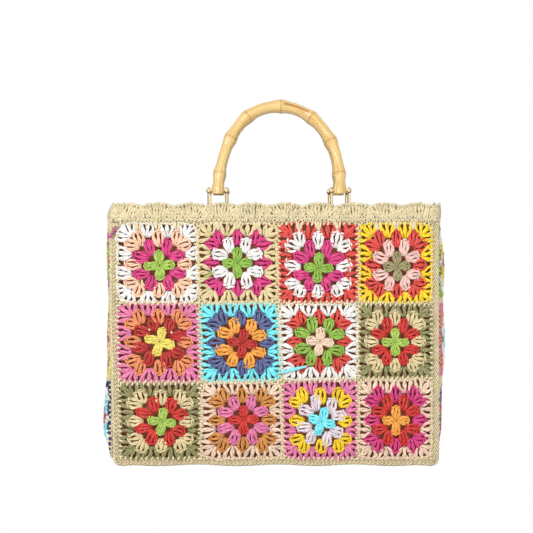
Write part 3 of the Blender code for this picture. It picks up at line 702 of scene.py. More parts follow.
# Ends of yarn that lie loose on the front, as x and z in millimetres
looseEnds = (
    {"yarn": "turquoise", "path": ((0.5, 99.8), (10.0, 101.4), (22.0, 104.8), (34.8, 107.6)), "thick": (0.6, 1.3, 1.9, 1.3), "lift": 3.6},
    {"yarn": "straw", "path": ((-143.4, 200.4), (-141.8, 197.0), (-140.0, 193.0)), "thick": (0.9, 1.5, 0.9), "lift": 3.0},
    {"yarn": "lime", "path": ((-75.6, 203.4), (-70.5, 204.9), (-64.6, 208.4)), "thick": (1.2, 1.3, 0.6), "lift": 3.0},
    {"yarn": "white", "path": ((12.4, 204.8), (17.4, 208.6), (22.2, 212.9)), "thick": (0.5, 0.7, 0.5), "lift": 3.6},
    {"yarn": "orchidDeep", "path": ((-177.0, 245.0), (-174.6, 250.4), (-170.4, 255.0), (-167.2, 258.0)), "thick": (1.3, 1.7, 1.2, 0.9), "lift": 2.6},
    {"yarn": "blush", "path": ((-135.2, 147.4), (-134.0, 146.0)), "thick": (1.0, 1.0), "lift": 2.6},
    {"yarn": "blush", "path": ((-111.0, 144.8), (-110.2, 142.6)), "thick": (1.0, 1.0), "lift": 2.6},
)


def addLooseEnds():
    skein = []
    for end in looseEnds:
        path = np.array(end["path"]) * mm
        given = np.linspace(0, 1, len(path))
        share = np.linspace(0, 1, 14)
        x, z = np.interp(share, given, path[:, 0]), np.interp(share, given, path[:, 1])
        x = x + 0.0004 * np.sin(share * 9)
        y = -(wall["outerY"] + frontBulge(x, z) + end["lift"] * mm)
        thick = np.interp(share, given, end["thick"]) * mm
        thick[[0, -1]] *= 0.5
        addStrands(skein, np.column_stack([x, y, z])[None], thick, 6, yarnOrder.index(end["yarn"]), 0.3)
    made = knit("loose_ends", skein)
    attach(made, "root")


addLooseEnds()


# Corded seam round the front and back


def resampled(path, count):
    path = np.asarray(path, float)
    reach = np.concatenate([[0], np.cumsum(np.linalg.norm(np.diff(path, axis=0), axis=1))])
    wanted = np.linspace(0, reach[-1], count)
    return np.column_stack([np.interp(wanted, reach, path[:, k]) for k in range(path.shape[1])]), reach[-1]


def edgingPath():
    radius, corner = 0.0034, 0.0045
    edgeX = wall["edgingX"]
    bendZ = radius + corner
    path = [(-edgeX, z) for z in np.linspace(0.2617, bendZ, 120)]
    for angle in np.linspace(math.pi, math.pi * 1.5, 9)[1:]:
        path.append((-edgeX + corner + corner * math.cos(angle), bendZ + corner * math.sin(angle)))
    run = edgeX - corner
    for x in np.linspace(-run, run, 240)[1:-1]:
        lift = (1 - math.cos(math.tau * (x + 0.17) / 0.085 - math.pi)) / 2
        lift *= min(1.0, (run - abs(x)) / 0.02)
        path.append((x, radius + 0.0017 * lift))
    right = [(-x, z) for x, z in reversed(path[: 120 + 8])]
    return np.array(path + right)


def seamCord(name, node, sign, seed):
    random = np.random.default_rng(seed)
    path, total = resampled(edgingPath(), 900)
    ahead = np.gradient(path, axis=0)
    ahead /= np.linalg.norm(ahead, axis=1, keepdims=True)
    outward = np.column_stack([-ahead[:, 1], ahead[:, 0]]) * -1
    pitch = 0.0044
    count = int(total / pitch)
    share = np.linspace(0, 1, 5)
    where = np.linspace(0, total, 900)
    skein, lines = [], []

    def onCord(distance, turn, radius):
        px = np.interp(distance, where, path[:, 0])
        pz = np.interp(distance, where, path[:, 1])
        ox = np.interp(distance, where, outward[:, 0])
        oz = np.interp(distance, where, outward[:, 1])
        x = px + ox * np.sin(turn) * radius
        y = wall["edgingY"] + np.cos(turn) * radius
        z = pz + oz * np.sin(turn) * radius
        if sign < 0:
            x = x + driftAt(x, z)[0]
        return np.stack([x, sign * y, z], axis=-1)

    for k in range(count):
        start = (k + 0.5 + random.uniform(-0.1, 0.1)) * total / count
        for low, high in ((-1.75, -0.05), (1.45, 0.05), (1.0, 2.2), (3.5, 2.35)):
            turn = low + (high - low) * share
            distance = np.clip(start + (share - 0.45) * pitch * 1.7, 0, total)
            radius = 0.0024 + 0.0005 * np.sin(np.pi * share)
            lines.append(onCord(distance, turn, radius))
    tone = np.clip(random.normal(0, 0.45, len(lines)), -1, 1)
    radii = np.array([0.75, 1.0, 1.05, 0.9, 0.6]) * 0.00095
    addStrands(skein, np.array(lines), radii, 4, 0, tone)
    # A core cord under the stitches; its tone of -0.8 darkens it as painted shade between them
    core = onCord(np.linspace(0, total, 120), np.zeros(120), np.zeros(120))[None]
    addStrands(skein, core, 0.0021, 6, 0, -0.8)
    made = knit(name, skein)
    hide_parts(node)
    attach(made, "root")


seamCord("front_seam_cord", "front_edging", -1, 301)
seamCord("back_seam_cord", "back_edging", 1, 302)
print("edging")


# The mouth: two straight rows and the shells above them


def rimPath(proud):
    halfX, halfY = wall["outerX"] + proud, wall["outerY"] + proud
    corner = 0.008
    path = []
    corners = ((1, -1), (1, 1), (-1, 1), (-1, -1))
    path.append((0.0, -halfY))
    for turn, (signX, signY) in enumerate(corners):
        cx, cy = signX * (halfX - corner), signY * (halfY - corner)
        for step in range(13):
            angle = math.pi / 2 * (turn - 1 + step / 12)
            path.append((cx + corner * math.cos(angle), cy + corner * math.sin(angle)))
    path.append((0.0, -halfY))
    dense, total = resampled(path, 2400)
    return dense, total, halfX, halfY


rim = {
    "floor": 0.26225,
    "rowsTop": 0.26945,
    "shellFloor": 0.26975,
    "feet": 0.2652,
    "valley": 0.0098,
    "rise": 0.0033,
    "lean": 0.005,
    "peaks": (-0.161, -0.1259, -0.0908, -0.0564, -0.0255, 0.011, 0.0482, 0.0844, 0.121, 0.1556),
}
rim["tip"] = rim["shellFloor"] + rim["valley"] + rim["rise"]
rimLine, rimLength, rimHalfX, rimHalfY = rimPath(0.001)
rimStep = rimLength / (len(rimLine) - 1)
rimAhead = np.gradient(rimLine, axis=0)
rimAhead /= np.linalg.norm(rimAhead, axis=1, keepdims=True)


def rimPoint(along, z, lift):
    # along runs anticlockwise from the middle of the front, lift is out of the rim
    where = np.mod(along, rimLength) / rimStep
    index = np.arange(len(rimLine))
    x = np.interp(where, index, rimLine[:, 0])
    y = np.interp(where, index, rimLine[:, 1])
    outX = np.interp(where, index, rimAhead[:, 1])
    outY = -np.interp(where, index, rimAhead[:, 0])
    z = np.asarray(z, float) + np.zeros_like(x)
    point = bulged(x, y, np.minimum(z, wall["top"]), rimHalfX, rimHalfY)
    point[..., 2] = z
    point[..., 0] += outX * lift
    point[..., 1] += outY * lift
    climb = (z - rim["shellFloor"]) / (rim["tip"] - rim["shellFloor"])
    lean = rim["lean"] * np.maximum(0, climb) * (np.abs(x) / rimHalfX) ** 8
    point[..., 0] += np.where(x < 0, lean, 0)
    return point


def band(name, floorOf, topOf, outer, inner, steps):
    # A plain ring between the two faces, so that nothing shows through the stitches
    along = np.linspace(0, rimLength, steps, endpoint=False)
    rings = []
    for lift, level in ((outer, floorOf), (outer, topOf), (inner, topOf), (inner, floorOf)):
        rings.append(rimPoint(along, level(along), np.full(steps, lift)))
    points = np.concatenate(rings)
    i = np.arange(steps)
    j = (i + 1) % steps
    quads = []
    for a in range(4):
        b = (a + 1) % 4
        quads.append(np.column_stack([a * steps + i, a * steps + j, b * steps + j, b * steps + i]))
    faces = np.concatenate(quads)
    return points, faces


def knitWithBand(name, skein, points, faces):
    made = knit(name, skein)
    # The band's tone of -0.9 darkens it: painted shade in the gaps between the stitches
    ring = meshObject(name + "_band", points, [faces], np.zeros((0, 2)), np.full(len(points), -0.9), np.zeros(len(faces), int))
    ring.data.materials.append(yarnMaterials["beige"])
    bpy.ops.object.select_all(action="DESELECT")
    ring.select_set(True)
    made.select_set(True)
    bpy.context.view_layer.objects.active = made
    bpy.ops.object.join()
    return made


def rimRows():
    random = np.random.default_rng(401)
    skein = []
    count = 172
    pitch = rimLength / count
    share = np.linspace(0, 1, 4)
    height = (rim["rowsTop"] - rim["floor"]) / 2
    for row in range(2):
        low = rim["floor"] + height * row
        for outward, lift in ((1, -0.0002), (-1, -0.0046)):
            lines = []
            for k in range(count):
                middle = (k + 0.5 * row + random.uniform(-0.2, 0.2)) * pitch
                for hand in (-1, 1):
                    tilt = random.uniform(-0.25, 0.25)
                    along = middle + hand * pitch * (0.06 + 0.44 * share) + tilt * pitch * share
                    z = low + height * (random.uniform(-0.1, 0.1) + 0.92 * share**0.9)
                    out = lift + outward * (random.uniform(0.0003, 0.001) * np.sin(np.pi * share))
                    lines.append(rimPoint(along, z, out))
                along = middle + pitch * (share - 0.5) * 1.2
                z = low + height * (0.82 + random.uniform(0.05, 0.35) * share)
                lines.append(rimPoint(along, z, lift + outward * random.uniform(0.0001, 0.0007) + 0 * share))
            tone = np.clip(random.normal(0, 0.5, len(lines)), -1, 1)
            radii = np.array([0.8, 1.05, 1.1, 0.8]) * 0.00105
            addStrands(skein, np.array(lines), radii, 4, 0, tone)
    points, faces = band(
        "rim", lambda s: np.full(len(s), rim["floor"]), lambda s: np.full(len(s), rim["rowsTop"]), -0.0010, -0.0040, 240
    )
    made = knitWithBand("rim_stitches", skein, points, faces)
    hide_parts("rim_rows")
    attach(made, "root")


def shellSpots():
    # Middle of each shell along the rim, and its reach to each side
    endMiddle = rimHalfX - 0.008 + 0.008 * math.pi / 2 + rimHalfY - 0.008
    middles = list(rim["peaks"])
    middles += [2 * endMiddle + 0.1614 - 0.0352 * k for k in range(10)]
    middles += [end * endMiddle + y for end in (-1, 1) for y in (-0.0345, 0.0, 0.0345)]
    middles = sorted(m % rimLength for m in middles)
    around = [middles[-1] - rimLength] + middles + [middles[0] + rimLength]
    return [(m, (m - before) / 2, (after - m) / 2) for before, m, after in zip(around, around[1:], around[2:])]


def shellTop(along):
    top = np.full(np.shape(along), rim["shellFloor"] + rim["valley"])
    for middle, left, right in shellSpots():
        away = np.mod(along - middle + rimLength / 2, rimLength) - rimLength / 2
        share = np.where(away < 0, away / left, away / right)
        inside = np.abs(share) < 1
        height = rim["shellFloor"] + rim["valley"] + rim["rise"] * np.cos(share * math.pi / 2)
        top = np.where(inside, np.maximum(top, height), top)
    return top


def shellEdging():
    random = np.random.default_rng(402)
    skein = []
    fans = 9
    share = np.linspace(0, 1, 6)
    loop = np.linspace(0, 1, 5)
    posts, tops, knots = [], [], []
    for middle, left, right in shellSpots():
        tall = random.uniform(-0.0004, 0.0006)
        for i in range(fans + 3):
            spread = (i - (fans - 1) / 2) / ((fans - 1) / 2)
            reach = (left if spread < 0 else right) * 0.97
            foot = spread * 0.0105 + random.uniform(-0.0006, 0.0006)
            head = spread * reach + random.uniform(-0.0006, 0.0006)
            low = rim["feet"] + 0.0035 * abs(spread) ** 1.5 + random.uniform(-0.0007, 0.0007)
            high = rim["shellFloor"] + rim["valley"] + (rim["rise"] + tall) * math.cos(spread * math.pi / 2) - 0.0015
            high += random.uniform(-0.0005, 0.0004)
            if i >= fans:
                # Upright stitches in the valley after the shell
                spread = 1.0
                foot = head = right + (i - fans - 1) * 0.0019
                low = rim["feet"] + 0.0008
                high = rim["shellFloor"] + random.uniform(0.0045, 0.0062)
            for outward, lift in ((1, -0.0002), (-1, -0.0044)):
                phase = random.uniform(0, math.tau)
                turns = random.uniform(0.4, 1.0) * random.choice((-1, 1))
                for ply in (0, 1):
                    turn = phase + math.tau * turns * share + math.pi * ply
                    wide = 0.001 * (0.6 + 0.7 * share)
                    along = middle + foot + (head - foot) * share**1.3 + np.cos(turn) * wide
                    z = low + (high - low) * share + np.cos(turn) * wide * -0.5 * spread
                    out = lift + outward * (0.0006 * np.sin(np.pi * share) + np.sin(turn) * wide * 0.7)
                    posts.append(rimPoint(along, z, out))
                gap = reach * 2 / fans * random.uniform(1.1, 1.5)
                slant = random.uniform(-0.0003, 0.0014)
                along = middle + head + (loop - 0.5) * gap
                z = high + slant * loop + 0.0005 * np.sin(np.pi * loop) - spread * abs(spread) * (loop - 0.5) * 0.0016
                tops.append(rimPoint(along, z, lift + outward * 0.0008 * np.sin(np.pi * loop)))
                level = random.uniform(0.25, 0.75)
                along = middle + foot + (head - foot) * level + (loop - 0.5) * 0.0034
                z = low + (high - low) * level + (loop - 0.5) * random.uniform(-0.003, 0.003)
                knots.append(rimPoint(along, z, lift + outward * (0.0004 + 0.0009 * np.sin(np.pi * loop))))
    tone = np.clip(random.normal(0, 0.5, len(posts)), -1, 1)
    radii = 0.00128 * (0.75 + 0.25 * np.sin(np.pi * (0.1 + 0.8 * share)))
    addStrands(skein, np.array(posts), radii, 4, 0, tone)
    for lines, thick in ((tops, 0.00132), (knots, 0.00105)):
        tone = np.clip(random.normal(0.15, 0.45, len(lines)), -1, 1)
        addStrands(skein, np.array(lines), np.array([0.7, 1.0, 1.05, 0.95, 0.65]) * thick, 4, 0, tone)
    points, faces = band(
        "shell", lambda s: np.full(len(s), rim["shellFloor"]), lambda s: shellTop(s) - 0.003, -0.0022, -0.003, 480
    )
    made = knitWithBand("shell_stitches", skein, points, faces)
    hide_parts("shell_edging")
    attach(made, "root")


rimRows()
shellEdging()
print("rim")


# Bottom strip: rows of V stitches that run along the bag


def baseRise(y):
    over = np.maximum(0, np.abs(y) - 0.025) / (wall["half"] - 0.025)
    return 0.0026 * over**1.6


def basePoint(along, y, lift):
    # along runs from the left end to the right end, lift is out of the bag
    bend = wall["bend"]
    bendX = wall["outerX"] - bend
    endAngle = math.acos(1 - (wall["stripFloor"] - 0.0003) / bend)
    arc = bend * endAngle
    side = np.sign(along)
    beyond = np.maximum(0, np.abs(along) - bendX)
    angle = np.minimum(beyond / bend, endAngle)
    x = side * (np.minimum(np.abs(along), bendX) + bend * np.sin(angle))
    z = bend * (1 - np.cos(angle))
    rise = baseRise(y) * (1 - np.minimum(1, beyond / arc))
    up = rise - lift
    return np.stack([x - side * np.sin(angle) * up, y + 0 * x, z + np.cos(angle) * up], axis=-1)


def basePanel():
    random = np.random.default_rng(501)
    bend = wall["bend"]
    reach = wall["outerX"] - bend + bend * math.acos(1 - (wall["stripFloor"] - 0.0003) / bend) - 0.0008
    rows, count = 16, 66
    width = wall["half"] * 2 - 0.0012
    share = np.linspace(0, 1, 4)
    lines = []
    for row in range(rows):
        middle = -width / 2 + (row + 0.5) * width / rows
        for k in range(count):
            start = -reach + (k + 0.5 + random.uniform(-0.1, 0.1)) * 2 * reach / count
            for hand in (-1, 1):
                along = np.clip(start + (share - 0.45) * 0.0090, -reach, reach)
                y = middle + hand * (0.0024 - 0.0019 * share**1.4)
                lift = -0.0013 + 0.0004 * np.sin(np.pi * share) - 0.0004 * share
                lines.append(basePoint(along, y, lift))
    skein = []
    tone = np.clip(random.normal(0, 0.45, len(lines)), -1, 1)
    addStrands(skein, np.array(lines), np.array([0.75, 1.0, 1.0, 0.65]) * 0.00115, 4, 0, tone)
    made = knit("base_stitches", skein)
    return made, reach, width


def baseCore(made, reach, width):
    along = np.linspace(-reach, reach, 60)
    across = np.linspace(-width / 2, width / 2, 12)
    grid = []
    for lift in (-0.0017, -0.0033):
        a, y = np.meshgrid(along, across, indexing="ij")
        grid.append(basePoint(a, y, np.full(a.shape, lift)).reshape(-1, 3))
    points = np.concatenate(grid)
    rows, columns = len(along), len(across)
    half = rows * columns
    faces = []
    for i in range(rows - 1):
        for j in range(columns - 1):
            a = i * columns + j
            faces.append((a, a + 1, a + columns + 1, a + columns))
            faces.append((half + a, half + a + columns, half + a + columns + 1, half + a + 1))
    for i in range(rows - 1):
        for j, flip in ((0, False), (columns - 1, True)):
            a = i * columns + j
            quad = (a, a + columns, half + a + columns, half + a)
            faces.append(quad[::-1] if flip else quad)
    for j in range(columns - 1):
        for i, flip in ((0, True), (rows - 1, False)):
            a = i * columns + j
            quad = (a, a + 1, half + a + 1, half + a)
            faces.append(quad[::-1] if flip else quad)
    return points, np.array(faces)[:, ::-1]


baseMade, baseReach, baseWidth = basePanel()
corePoints, coreFaces = baseCore(baseMade, baseReach, baseWidth)
# The core under the base stitches has a tone of -0.9, painted shade between the stitches
core = meshObject("base_core", corePoints, [coreFaces], np.zeros((0, 2)), np.full(len(corePoints), -0.9), np.zeros(len(coreFaces), int))
core.data.materials.append(yarnMaterials["beige"])
bpy.ops.object.select_all(action="DESELECT")
core.select_set(True)
baseMade.select_set(True)
bpy.context.view_layer.objects.active = baseMade
bpy.ops.object.mode_set(mode="OBJECT")
bpy.ops.object.join()
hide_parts("base_panel")
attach(baseMade, "root")
print("base")


# Cloth lining keeps its CAD shape

liningMaterial, liningShader = principled("lining_cloth", linear(194, 122, 90), 0.85)
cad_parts["lining"].data.materials.clear()
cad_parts["lining"].data.materials.append(liningMaterial)
for face in ("front", "back"):
    for side in ("left", "right"):
        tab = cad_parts[f"{face}_{side}_tab"]
        tab.data.materials.clear()
        tab.data.materials.append(yarnMaterials["beige"])

goldMaterial, goldShader = principled("gold", linear(238, 218, 176), 0.14, metallic=1.0)

# U-shackles with a round ear on each arm, and the pins through them

hardware = {
    "wire": 0.0016,
    "ear": 0.0035,
    "earDepth": 0.0026,
    "reach": 0.0095,
    "drop": 0.022,
    "bend": 0.006,
    "pin": 0.0014,
    "head": 0.0025,
    "spots": (("left", -0.0612), ("right", 0.0708)),
}


def joined(parts, name, place):
    bpy.ops.object.select_all(action="DESELECT")
    for part in parts:
        part.select_set(True)
    bpy.context.view_layer.objects.active = parts[0]
    bpy.ops.object.join()
    made = bpy.context.object
    made.name = name
    bpy.ops.object.transform_apply(location=True, rotation=True, scale=True)
    bpy.ops.object.shade_smooth_by_angle(angle=math.radians(40))
    made.data.materials.append(goldMaterial)
    made.data.transform(Matrix.Translation(place))
    return made


def softDisc(radius, depth, x):
    bpy.ops.object.select_all(action="DESELECT")
    bpy.ops.mesh.primitive_cylinder_add(
        vertices=24, radius=radius, depth=depth, location=(x, 0, 0), rotation=(0, math.pi / 2, 0)
    )
    disc = bpy.context.object
    soft = disc.modifiers.new("soft", "BEVEL")
    soft.width = depth * 0.28
    soft.segments = 3
    soft.limit_method = "ANGLE"
    bpy.ops.object.modifier_apply(modifier="soft")
    return disc


def makeShackle(name, place):
    reach, drop, bend = hardware["reach"], hardware["drop"], hardware["bend"]
    top = -hardware["ear"] * 0.6
    bpy.ops.object.select_all(action="DESELECT")
    bpy.ops.mesh.primitive_circle_add(vertices=14, radius=hardware["wire"], fill_type="NGON", location=(-reach, 0, top))
    wire = bpy.context.object
    bpy.ops.object.transform_apply(location=True, rotation=True, scale=True)
    bpy.ops.object.mode_set(mode="EDIT")
    bpy.ops.mesh.select_all(action="SELECT")
    bpy.ops.mesh.extrude_region_move(TRANSFORM_OT_translate={"value": (0, 0, -drop + bend - top)})
    bpy.ops.mesh.spin(steps=8, angle=math.pi / 2, center=(-reach + bend, 0, -drop + bend), axis=(0, 1, 0))
    bpy.ops.mesh.extrude_region_move(TRANSFORM_OT_translate={"value": ((reach - bend) * 2, 0, 0)})
    bpy.ops.mesh.spin(steps=8, angle=math.pi / 2, center=(reach - bend, 0, -drop + bend), axis=(0, 1, 0))
    bpy.ops.mesh.extrude_region_move(TRANSFORM_OT_translate={"value": (0, 0, drop - bend + top)})
    bpy.ops.mesh.select_all(action="SELECT")
    bpy.ops.mesh.normals_make_consistent(inside=False)
    bpy.ops.object.mode_set(mode="OBJECT")
    ears = [softDisc(hardware["ear"], hardware["earDepth"], x) for x in (-reach, reach)]
    return joined([wire] + ears, name, place)


def makePin(name, place):
    outside = hardware["reach"] + 0.0015
    bpy.ops.object.select_all(action="DESELECT")
    bpy.ops.mesh.primitive_cylinder_add(
        vertices=16, radius=hardware["pin"], depth=outside * 2, location=(0, 0, 0), rotation=(0, math.pi / 2, 0)
    )
    parts = [bpy.context.object]
    for x in (-outside, outside):
        bpy.ops.mesh.primitive_uv_sphere_add(segments=20, ring_count=12, radius=hardware["head"], location=(x, 0, 0))
        bpy.context.object.scale = (0.55, 1, 1)
        parts.append(bpy.context.object)
    return joined(parts, name, place)


for face, sign in (("front", -1), ("back", 1)):
    for side, x in hardware["spots"]:
        place = (x, sign * 0.04022, 0.29665)
        shackle = makeShackle(f"{face}_{side}_gold_shackle", place)
        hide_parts(f"{face}_{side}_shackle")
        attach(shackle, "root")
        pin = makePin(f"{face}_{side}_gold_pin", place)
        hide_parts(f"{face}_{side}_pin")
        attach(pin, f"{face}_handle")
print("hardware")


# Bamboo: a straight stem turned ring by ring, then bent to the arch

bamboo = {
    "halfSpan": 0.066,
    "height": 0.09825,
    "full": 2.15,
    "skew": 0.0015,
    "below": 0.0046,
    "legRadius": 0.0051,
    "topRadius": 0.0060,
    "footRadius": 0.0066,
    "flare": 0.012,
    "lean": math.radians(19.35),
    "pin": (0.0048, 0.04022, 0.29665),
}
# Growth nodes: the turn from the right foot and how far each one swells
bambooNodes = ((10.0, 0.0013), (34.0, 0.0013), (59.0, 0.0011), (88.0, 0.0011), (120.0, 0.0011), (143.5, 0.0012), (170.0, 0.0013))


def archPath():
    turns = np.radians(np.linspace(0, 180, 361))
    power = 2 / bamboo["full"]
    height = bamboo["height"] * np.maximum(0, np.sin(turns)) ** power
    x = np.sign(np.cos(turns)) * bamboo["halfSpan"] * np.abs(np.cos(turns)) ** power
    x = x + bamboo["skew"] * np.sin(np.pi * height / bamboo["height"])
    smooth = np.column_stack([x, height])
    # Each length between two nodes is a little straighter than the arch
    marks = [0] + [round(turn * 2) for turn, swell in bambooNodes] + [360]
    kinked = smooth.copy()
    for low, high in zip(marks, marks[1:]):
        share = np.linspace(0, 1, high - low + 1)[:, None]
        kinked[low : high + 1] = smooth[low] * (1 - share) + smooth[high] * share
    path = smooth * 0.9 + kinked * 0.1
    feet = [(path[0][0], -bamboo["below"])], [(path[-1][0], -bamboo["below"])]
    path = np.concatenate([feet[0], path, feet[1]])
    reach = np.concatenate([[0], np.cumsum(np.linalg.norm(np.diff(path, axis=0), axis=1))])
    return path, reach, [reach[1 + mark] for mark in marks[1:-1]]


def stemRadius(along, total, heightAt, nodeSpots):
    height = heightAt(along)
    radius = bamboo["legRadius"] + (bamboo["topRadius"] - bamboo["legRadius"]) * max(0, height / bamboo["height"]) ** 1.5
    fromEnd = min(along, total - along)
    if fromEnd < bamboo["flare"] + bamboo["below"]:
        flare = 1 - max(0.0, fromEnd - bamboo["below"]) / bamboo["flare"]
        radius += (bamboo["footRadius"] - radius) * min(1.0, 1.3 * flare)
    closest = 0.0
    for spot, (turn, swell) in zip(nodeSpots, bambooNodes):
        away = abs(along - spot)
        radius += swell * 1.15 * (1 + math.cos(math.pi * min(1.0, away / 0.0115))) / 2
        if 0.0008 < away < 0.0012:
            radius += 0.00018
        if away < 0.0003:
            radius -= 0.0003
        closest = max(closest, 1 - abs(away - 0.0007) / 0.0012)
    if fromEnd < 0.0006:
        radius *= 0.92
    return radius, closest


def stemStations(total, nodeSpots):
    stations = list(np.arange(0.0, total, 0.0042)) + [0.0006, total - 0.0006, total]
    for spot in nodeSpots:
        stations += [spot + step for step in (-0.003, -0.0018, -0.001, -0.0005, 0.0, 0.0005, 0.001, 0.0018, 0.003)]
    stations = sorted(s for s in stations if 0 <= s <= total)
    return [s for i, s in enumerate(stations) if i == 0 or s - stations[i - 1] > 0.00035]


def makeStem(name):
    path, reach, nodeSpots = archPath()
    total = float(reach[-1])
    heightAt = lambda s: float(np.interp(s, reach, path[:, 1]))
    stations = stemStations(total, nodeSpots)
    first, _ = stemRadius(0.0, total, heightAt, nodeSpots)
    bpy.ops.object.select_all(action="DESELECT")
    quarter = (0, math.pi / 2, 0)
    bpy.ops.mesh.primitive_circle_add(vertices=28, radius=first, fill_type="NGON", location=(0, 0, 0), rotation=quarter)
    stem = bpy.context.object
    stem.name = name
    bpy.ops.object.transform_apply(location=True, rotation=True, scale=True)
    bpy.ops.object.mode_set(mode="EDIT")
    bpy.ops.mesh.select_all(action="SELECT")
    before = first
    for last, along in zip(stations, stations[1:]):
        radius, _ = stemRadius(along, total, heightAt, nodeSpots)
        bpy.ops.mesh.extrude_region_move(TRANSFORM_OT_translate={"value": (along - last, 0, 0)})
        size = radius / before
        bpy.ops.transform.resize(value=(1, size, size), center_override=(along, 0, 0))
        before = radius
    bpy.ops.mesh.select_all(action="SELECT")
    bpy.ops.mesh.normals_make_consistent(inside=False)
    bpy.ops.object.mode_set(mode="OBJECT")
    mesh = stem.data
    count = len(mesh.vertices)
    flat = np.zeros(count * 3, np.float32)
    mesh.vertices.foreach_get("co", flat)
    points = flat.reshape(-1, 3)
    turnAngle = np.arctan2(points[:, 2], points[:, 1])
    rings = {
        "along": points[:, 0],
        "turnCos": np.cos(turnAngle),
        "turnSin": np.sin(turnAngle),
        "node": np.array([max(0.0, stemRadius(float(a), total, heightAt, nodeSpots)[1]) for a in points[:, 0]]),
    }
    for label, values in rings.items():
        attribute = mesh.attributes.new(label, "FLOAT", "POINT")
        attribute.data.foreach_set("value", values.astype(np.float32))
    curve = bpy.data.curves.new(name + "_arch", "CURVE")
    curve.dimensions = "3D"
    spline = curve.splines.new("POLY")
    spline.points.add(len(path) - 1)
    for point, (x, height) in zip(spline.points, path):
        point.co = (x, 0, height, 1)
    arch = bpy.data.objects.new(name + "_arch", curve)
    bpy.context.scene.collection.objects.link(arch)
    bend = stem.modifiers.new("bend", "CURVE")
    bend.object = arch
    bend.deform_axis = "POS_X"
    bpy.context.view_layer.objects.active = stem
    bpy.ops.object.modifier_apply(modifier="bend")
    bpy.data.objects.remove(arch)
    bent = np.zeros(count * 3, np.float32)
    stem.data.vertices.foreach_get("co", bent)
    bent = bent.reshape(-1, 3).astype(float)
    along = rings["along"]
    middle = np.column_stack([np.interp(along, reach, path[:, 0]), np.interp(along, reach, path[:, 1])])
    outward = middle / np.maximum(1e-9, np.linalg.norm(middle, axis=1, keepdims=True))
    off = ((bent[:, [0, 2]] - middle) * outward).sum(1) / 0.0062
    split = (np.abs(off - 0.12) < 0.13) & (bent[:, 1] < 0)
    split &= (along > nodeSpots[2] + 0.005) & (along < nodeSpots[3] - 0.002)
    attribute = stem.data.attributes.new("split", "FLOAT", "POINT")
    attribute.data.foreach_set("value", split.astype(np.float32))
    stem.data.polygons.foreach_set("use_smooth", [True] * len(stem.data.polygons))
    bpy.ops.object.shade_smooth_by_angle(angle=math.radians(35))
    stem.data.materials.append(bambooMaterial)
    return stem


def placeStem(stem, sign):
    pinX, pinY, pinZ = bamboo["pin"]
    lean = Matrix.Rotation(sign * bamboo["lean"], 4, "X")
    # The feet are cut level
    for vertex in stem.data.vertices:
        if vertex.co.z < -0.0036:
            vertex.co.z += 0.0010 - sign * vertex.co.y * math.tan(bamboo["lean"])
    stem.data.transform(Matrix.Translation((pinX, sign * pinY, pinZ)) @ lean)
    stem.data.update()


def makeBambooMaterial():
    # Honey streaks along the stem, grooves round it and darker rings at the nodes
    group, given, result = newGroup(
        "bambooSkin",
        [("Pale", "NodeSocketColor", (0.8, 0.6, 0.3, 1)), ("Deep", "NodeSocketColor", (0.5, 0.3, 0.1, 1))],
        [("Color", "NodeSocketColor"), ("Roughness", "NodeSocketFloat"), ("Height", "NodeSocketFloat")],
    )
    reads = {}
    for label in ("along", "turnCos", "turnSin", "node", "split"):
        reads[label] = group.nodes.new("ShaderNodeAttribute")
        reads[label].attribute_name = label
    noises = []
    for scale, round_, detail in ((10.0, 2.0, 1.0), (26.0, 5.0, 3.0)):
        join = group.nodes.new("ShaderNodeCombineXYZ")
        group.links.new(maths(group, "MULTIPLY", reads["along"].outputs["Fac"], scale), join.inputs[0])
        group.links.new(maths(group, "MULTIPLY", reads["turnCos"].outputs["Fac"], round_), join.inputs[1])
        group.links.new(maths(group, "MULTIPLY", reads["turnSin"].outputs["Fac"], round_), join.inputs[2])
        noise = group.nodes.new("ShaderNodeTexNoise")
        noise.inputs["Scale"].default_value = 1.5
        noise.inputs["Detail"].default_value = detail
        group.links.new(join.outputs[0], noise.inputs["Vector"])
        noises.append(noise.outputs[0])
    wide = ranged(group, noises[0], 0.35, 0.65, 0.0, 1.0)
    fine = ranged(group, noises[1], 0.35, 0.65, 0.0, 1.0)
    shade = maths(group, "ADD", maths(group, "MULTIPLY", wide, 0.6), maths(group, "MULTIPLY", fine, 0.4))
    ring = maths(group, "MULTIPLY", reads["node"].outputs["Fac"], 0.42)
    ring = maths(group, "MAXIMUM", ring, maths(group, "MULTIPLY", reads["split"].outputs["Fac"], 0.9))
    colour = mixed(group, shade, given.outputs[1], given.outputs[0])
    brown = (*linear(160, 106, 52), 1)
    colour = mixed(group, ring, colour, brown)
    group.links.new(colour, result.inputs[0])
    group.links.new(ranged(group, fine, 0.0, 1.0, 0.3, 0.42), result.inputs[1])
    group.links.new(shade, result.inputs[2])
    material, shader = principled("bamboo", linear(236, 202, 140), 0.35, coat=0.35)
    effect = material.node_tree.nodes.new("ShaderNodeGroup")
    effect.node_tree = group
    effect.inputs["Pale"].default_value = (*linear(228, 202, 138), 1)
    effect.inputs["Deep"].default_value = (*linear(198, 154, 84), 1)
    material.node_tree.links.new(effect.outputs["Color"], shader.inputs["Base Color"])
    material.node_tree.links.new(effect.outputs["Roughness"], shader.inputs["Roughness"])
    addBump(material, shader, effect.outputs["Height"], 0.6, 0.0012)
    return material


bambooMaterial = makeBambooMaterial()
for face, sign in (("front", -1), ("back", 1)):
    stem = makeStem(f"{face}_bamboo")
    placeStem(stem, sign)
    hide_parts(f"{face}_handle")
    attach(stem, f"{face}_handle")
print("handles")

# Light and camera

bpy.ops.mesh.primitive_plane_add(size=6, location=(0, 0, 0))
floor = bpy.context.object
floor.name = "floor"
floorMaterial, floorShader = principled("floor", (0.95, 0.95, 0.95), 0.9)
floor.data.materials.append(floorMaterial)
floor.visible_camera = False

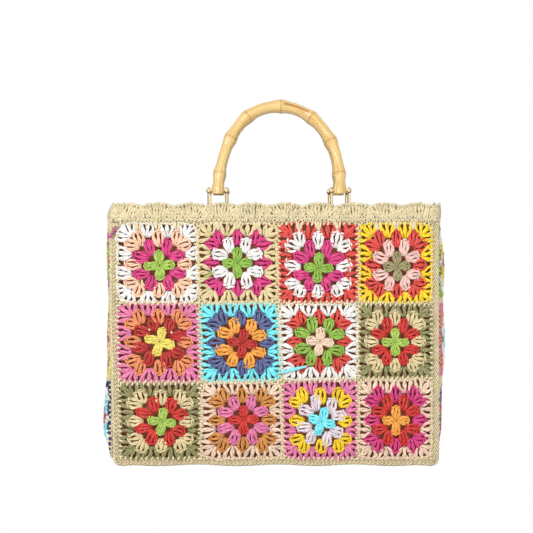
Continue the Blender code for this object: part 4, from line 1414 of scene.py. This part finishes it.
world = bpy.data.worlds.new("studio")
bpy.context.scene.world = world
world.use_nodes = True
background = world.node_tree.nodes["Background"]
background.inputs[0].default_value = (1, 1, 1, 1)
seen = world.node_tree.nodes.new("ShaderNodeLightPath")
strength = world.node_tree.nodes.new("ShaderNodeMapRange")
strength.inputs[3].default_value = 0.72
strength.inputs[4].default_value = 1.0
world.node_tree.links.new(seen.outputs["Is Camera Ray"], strength.inputs[0])
world.node_tree.links.new(strength.outputs[0], background.inputs[1])


def addArea(name, place, aim, size, power, colour=(1, 1, 1)):
    light = bpy.data.lights.new(name, "AREA")
    light.energy = power
    light.size = size
    light.color = colour
    lamp = bpy.data.objects.new(name, light)
    lamp.location = place
    lamp.rotation_euler = (Vector(aim) - Vector(place)).to_track_quat("-Z", "Y").to_euler()
    bpy.context.scene.collection.objects.link(lamp)


def addFlag(azimuth, width):
    # A dark card that only shows in shiny things
    turn = math.radians(azimuth)
    place = (1.5 * math.sin(turn), -1.5 * math.cos(turn), 0.35)
    bpy.ops.mesh.primitive_plane_add(size=1, location=place, rotation=(math.pi / 2, 0, turn))
    card = bpy.context.object
    card.name = "dark_card"
    card.scale = (width, 1.6, 1)
    card.data.materials.append(cardMaterial)
    card.visible_camera = False
    card.visible_diffuse = False
    card.visible_shadow = False


cardMaterial, cardShader = principled("dark_card", (0.015, 0.012, 0.01), 0.9)
for azimuth, width in ((-62, 0.42), (58, 0.34), (-135, 0.9), (128, 0.9)):
    addFlag(azimuth, width)
addArea("key", (-0.9, -1.5, 1.3), (0, 0, 0.15), 0.7, 27)
addArea("fill", (1.3, -1.4, 0.6), (0, 0, 0.15), 1.2, 8)

cameraData = bpy.data.cameras.new("camera")
cameraData.sensor_width = 36
cameraData.lens = 188.5
camera = bpy.data.objects.new("camera", cameraData)
target = Vector((-0.0086, -0.05, 0.2145))
turn = math.radians(-0.3)
camera.location = target + Vector((math.sin(turn), -math.cos(turn), 0)) * 3.0
camera.rotation_euler = (target - camera.location).to_track_quat("-Z", "Y").to_euler()
bpy.context.scene.collection.objects.link(camera)
bpy.context.scene.camera = camera
bpy.context.scene.view_settings.view_transform = "Standard"
print("stage")
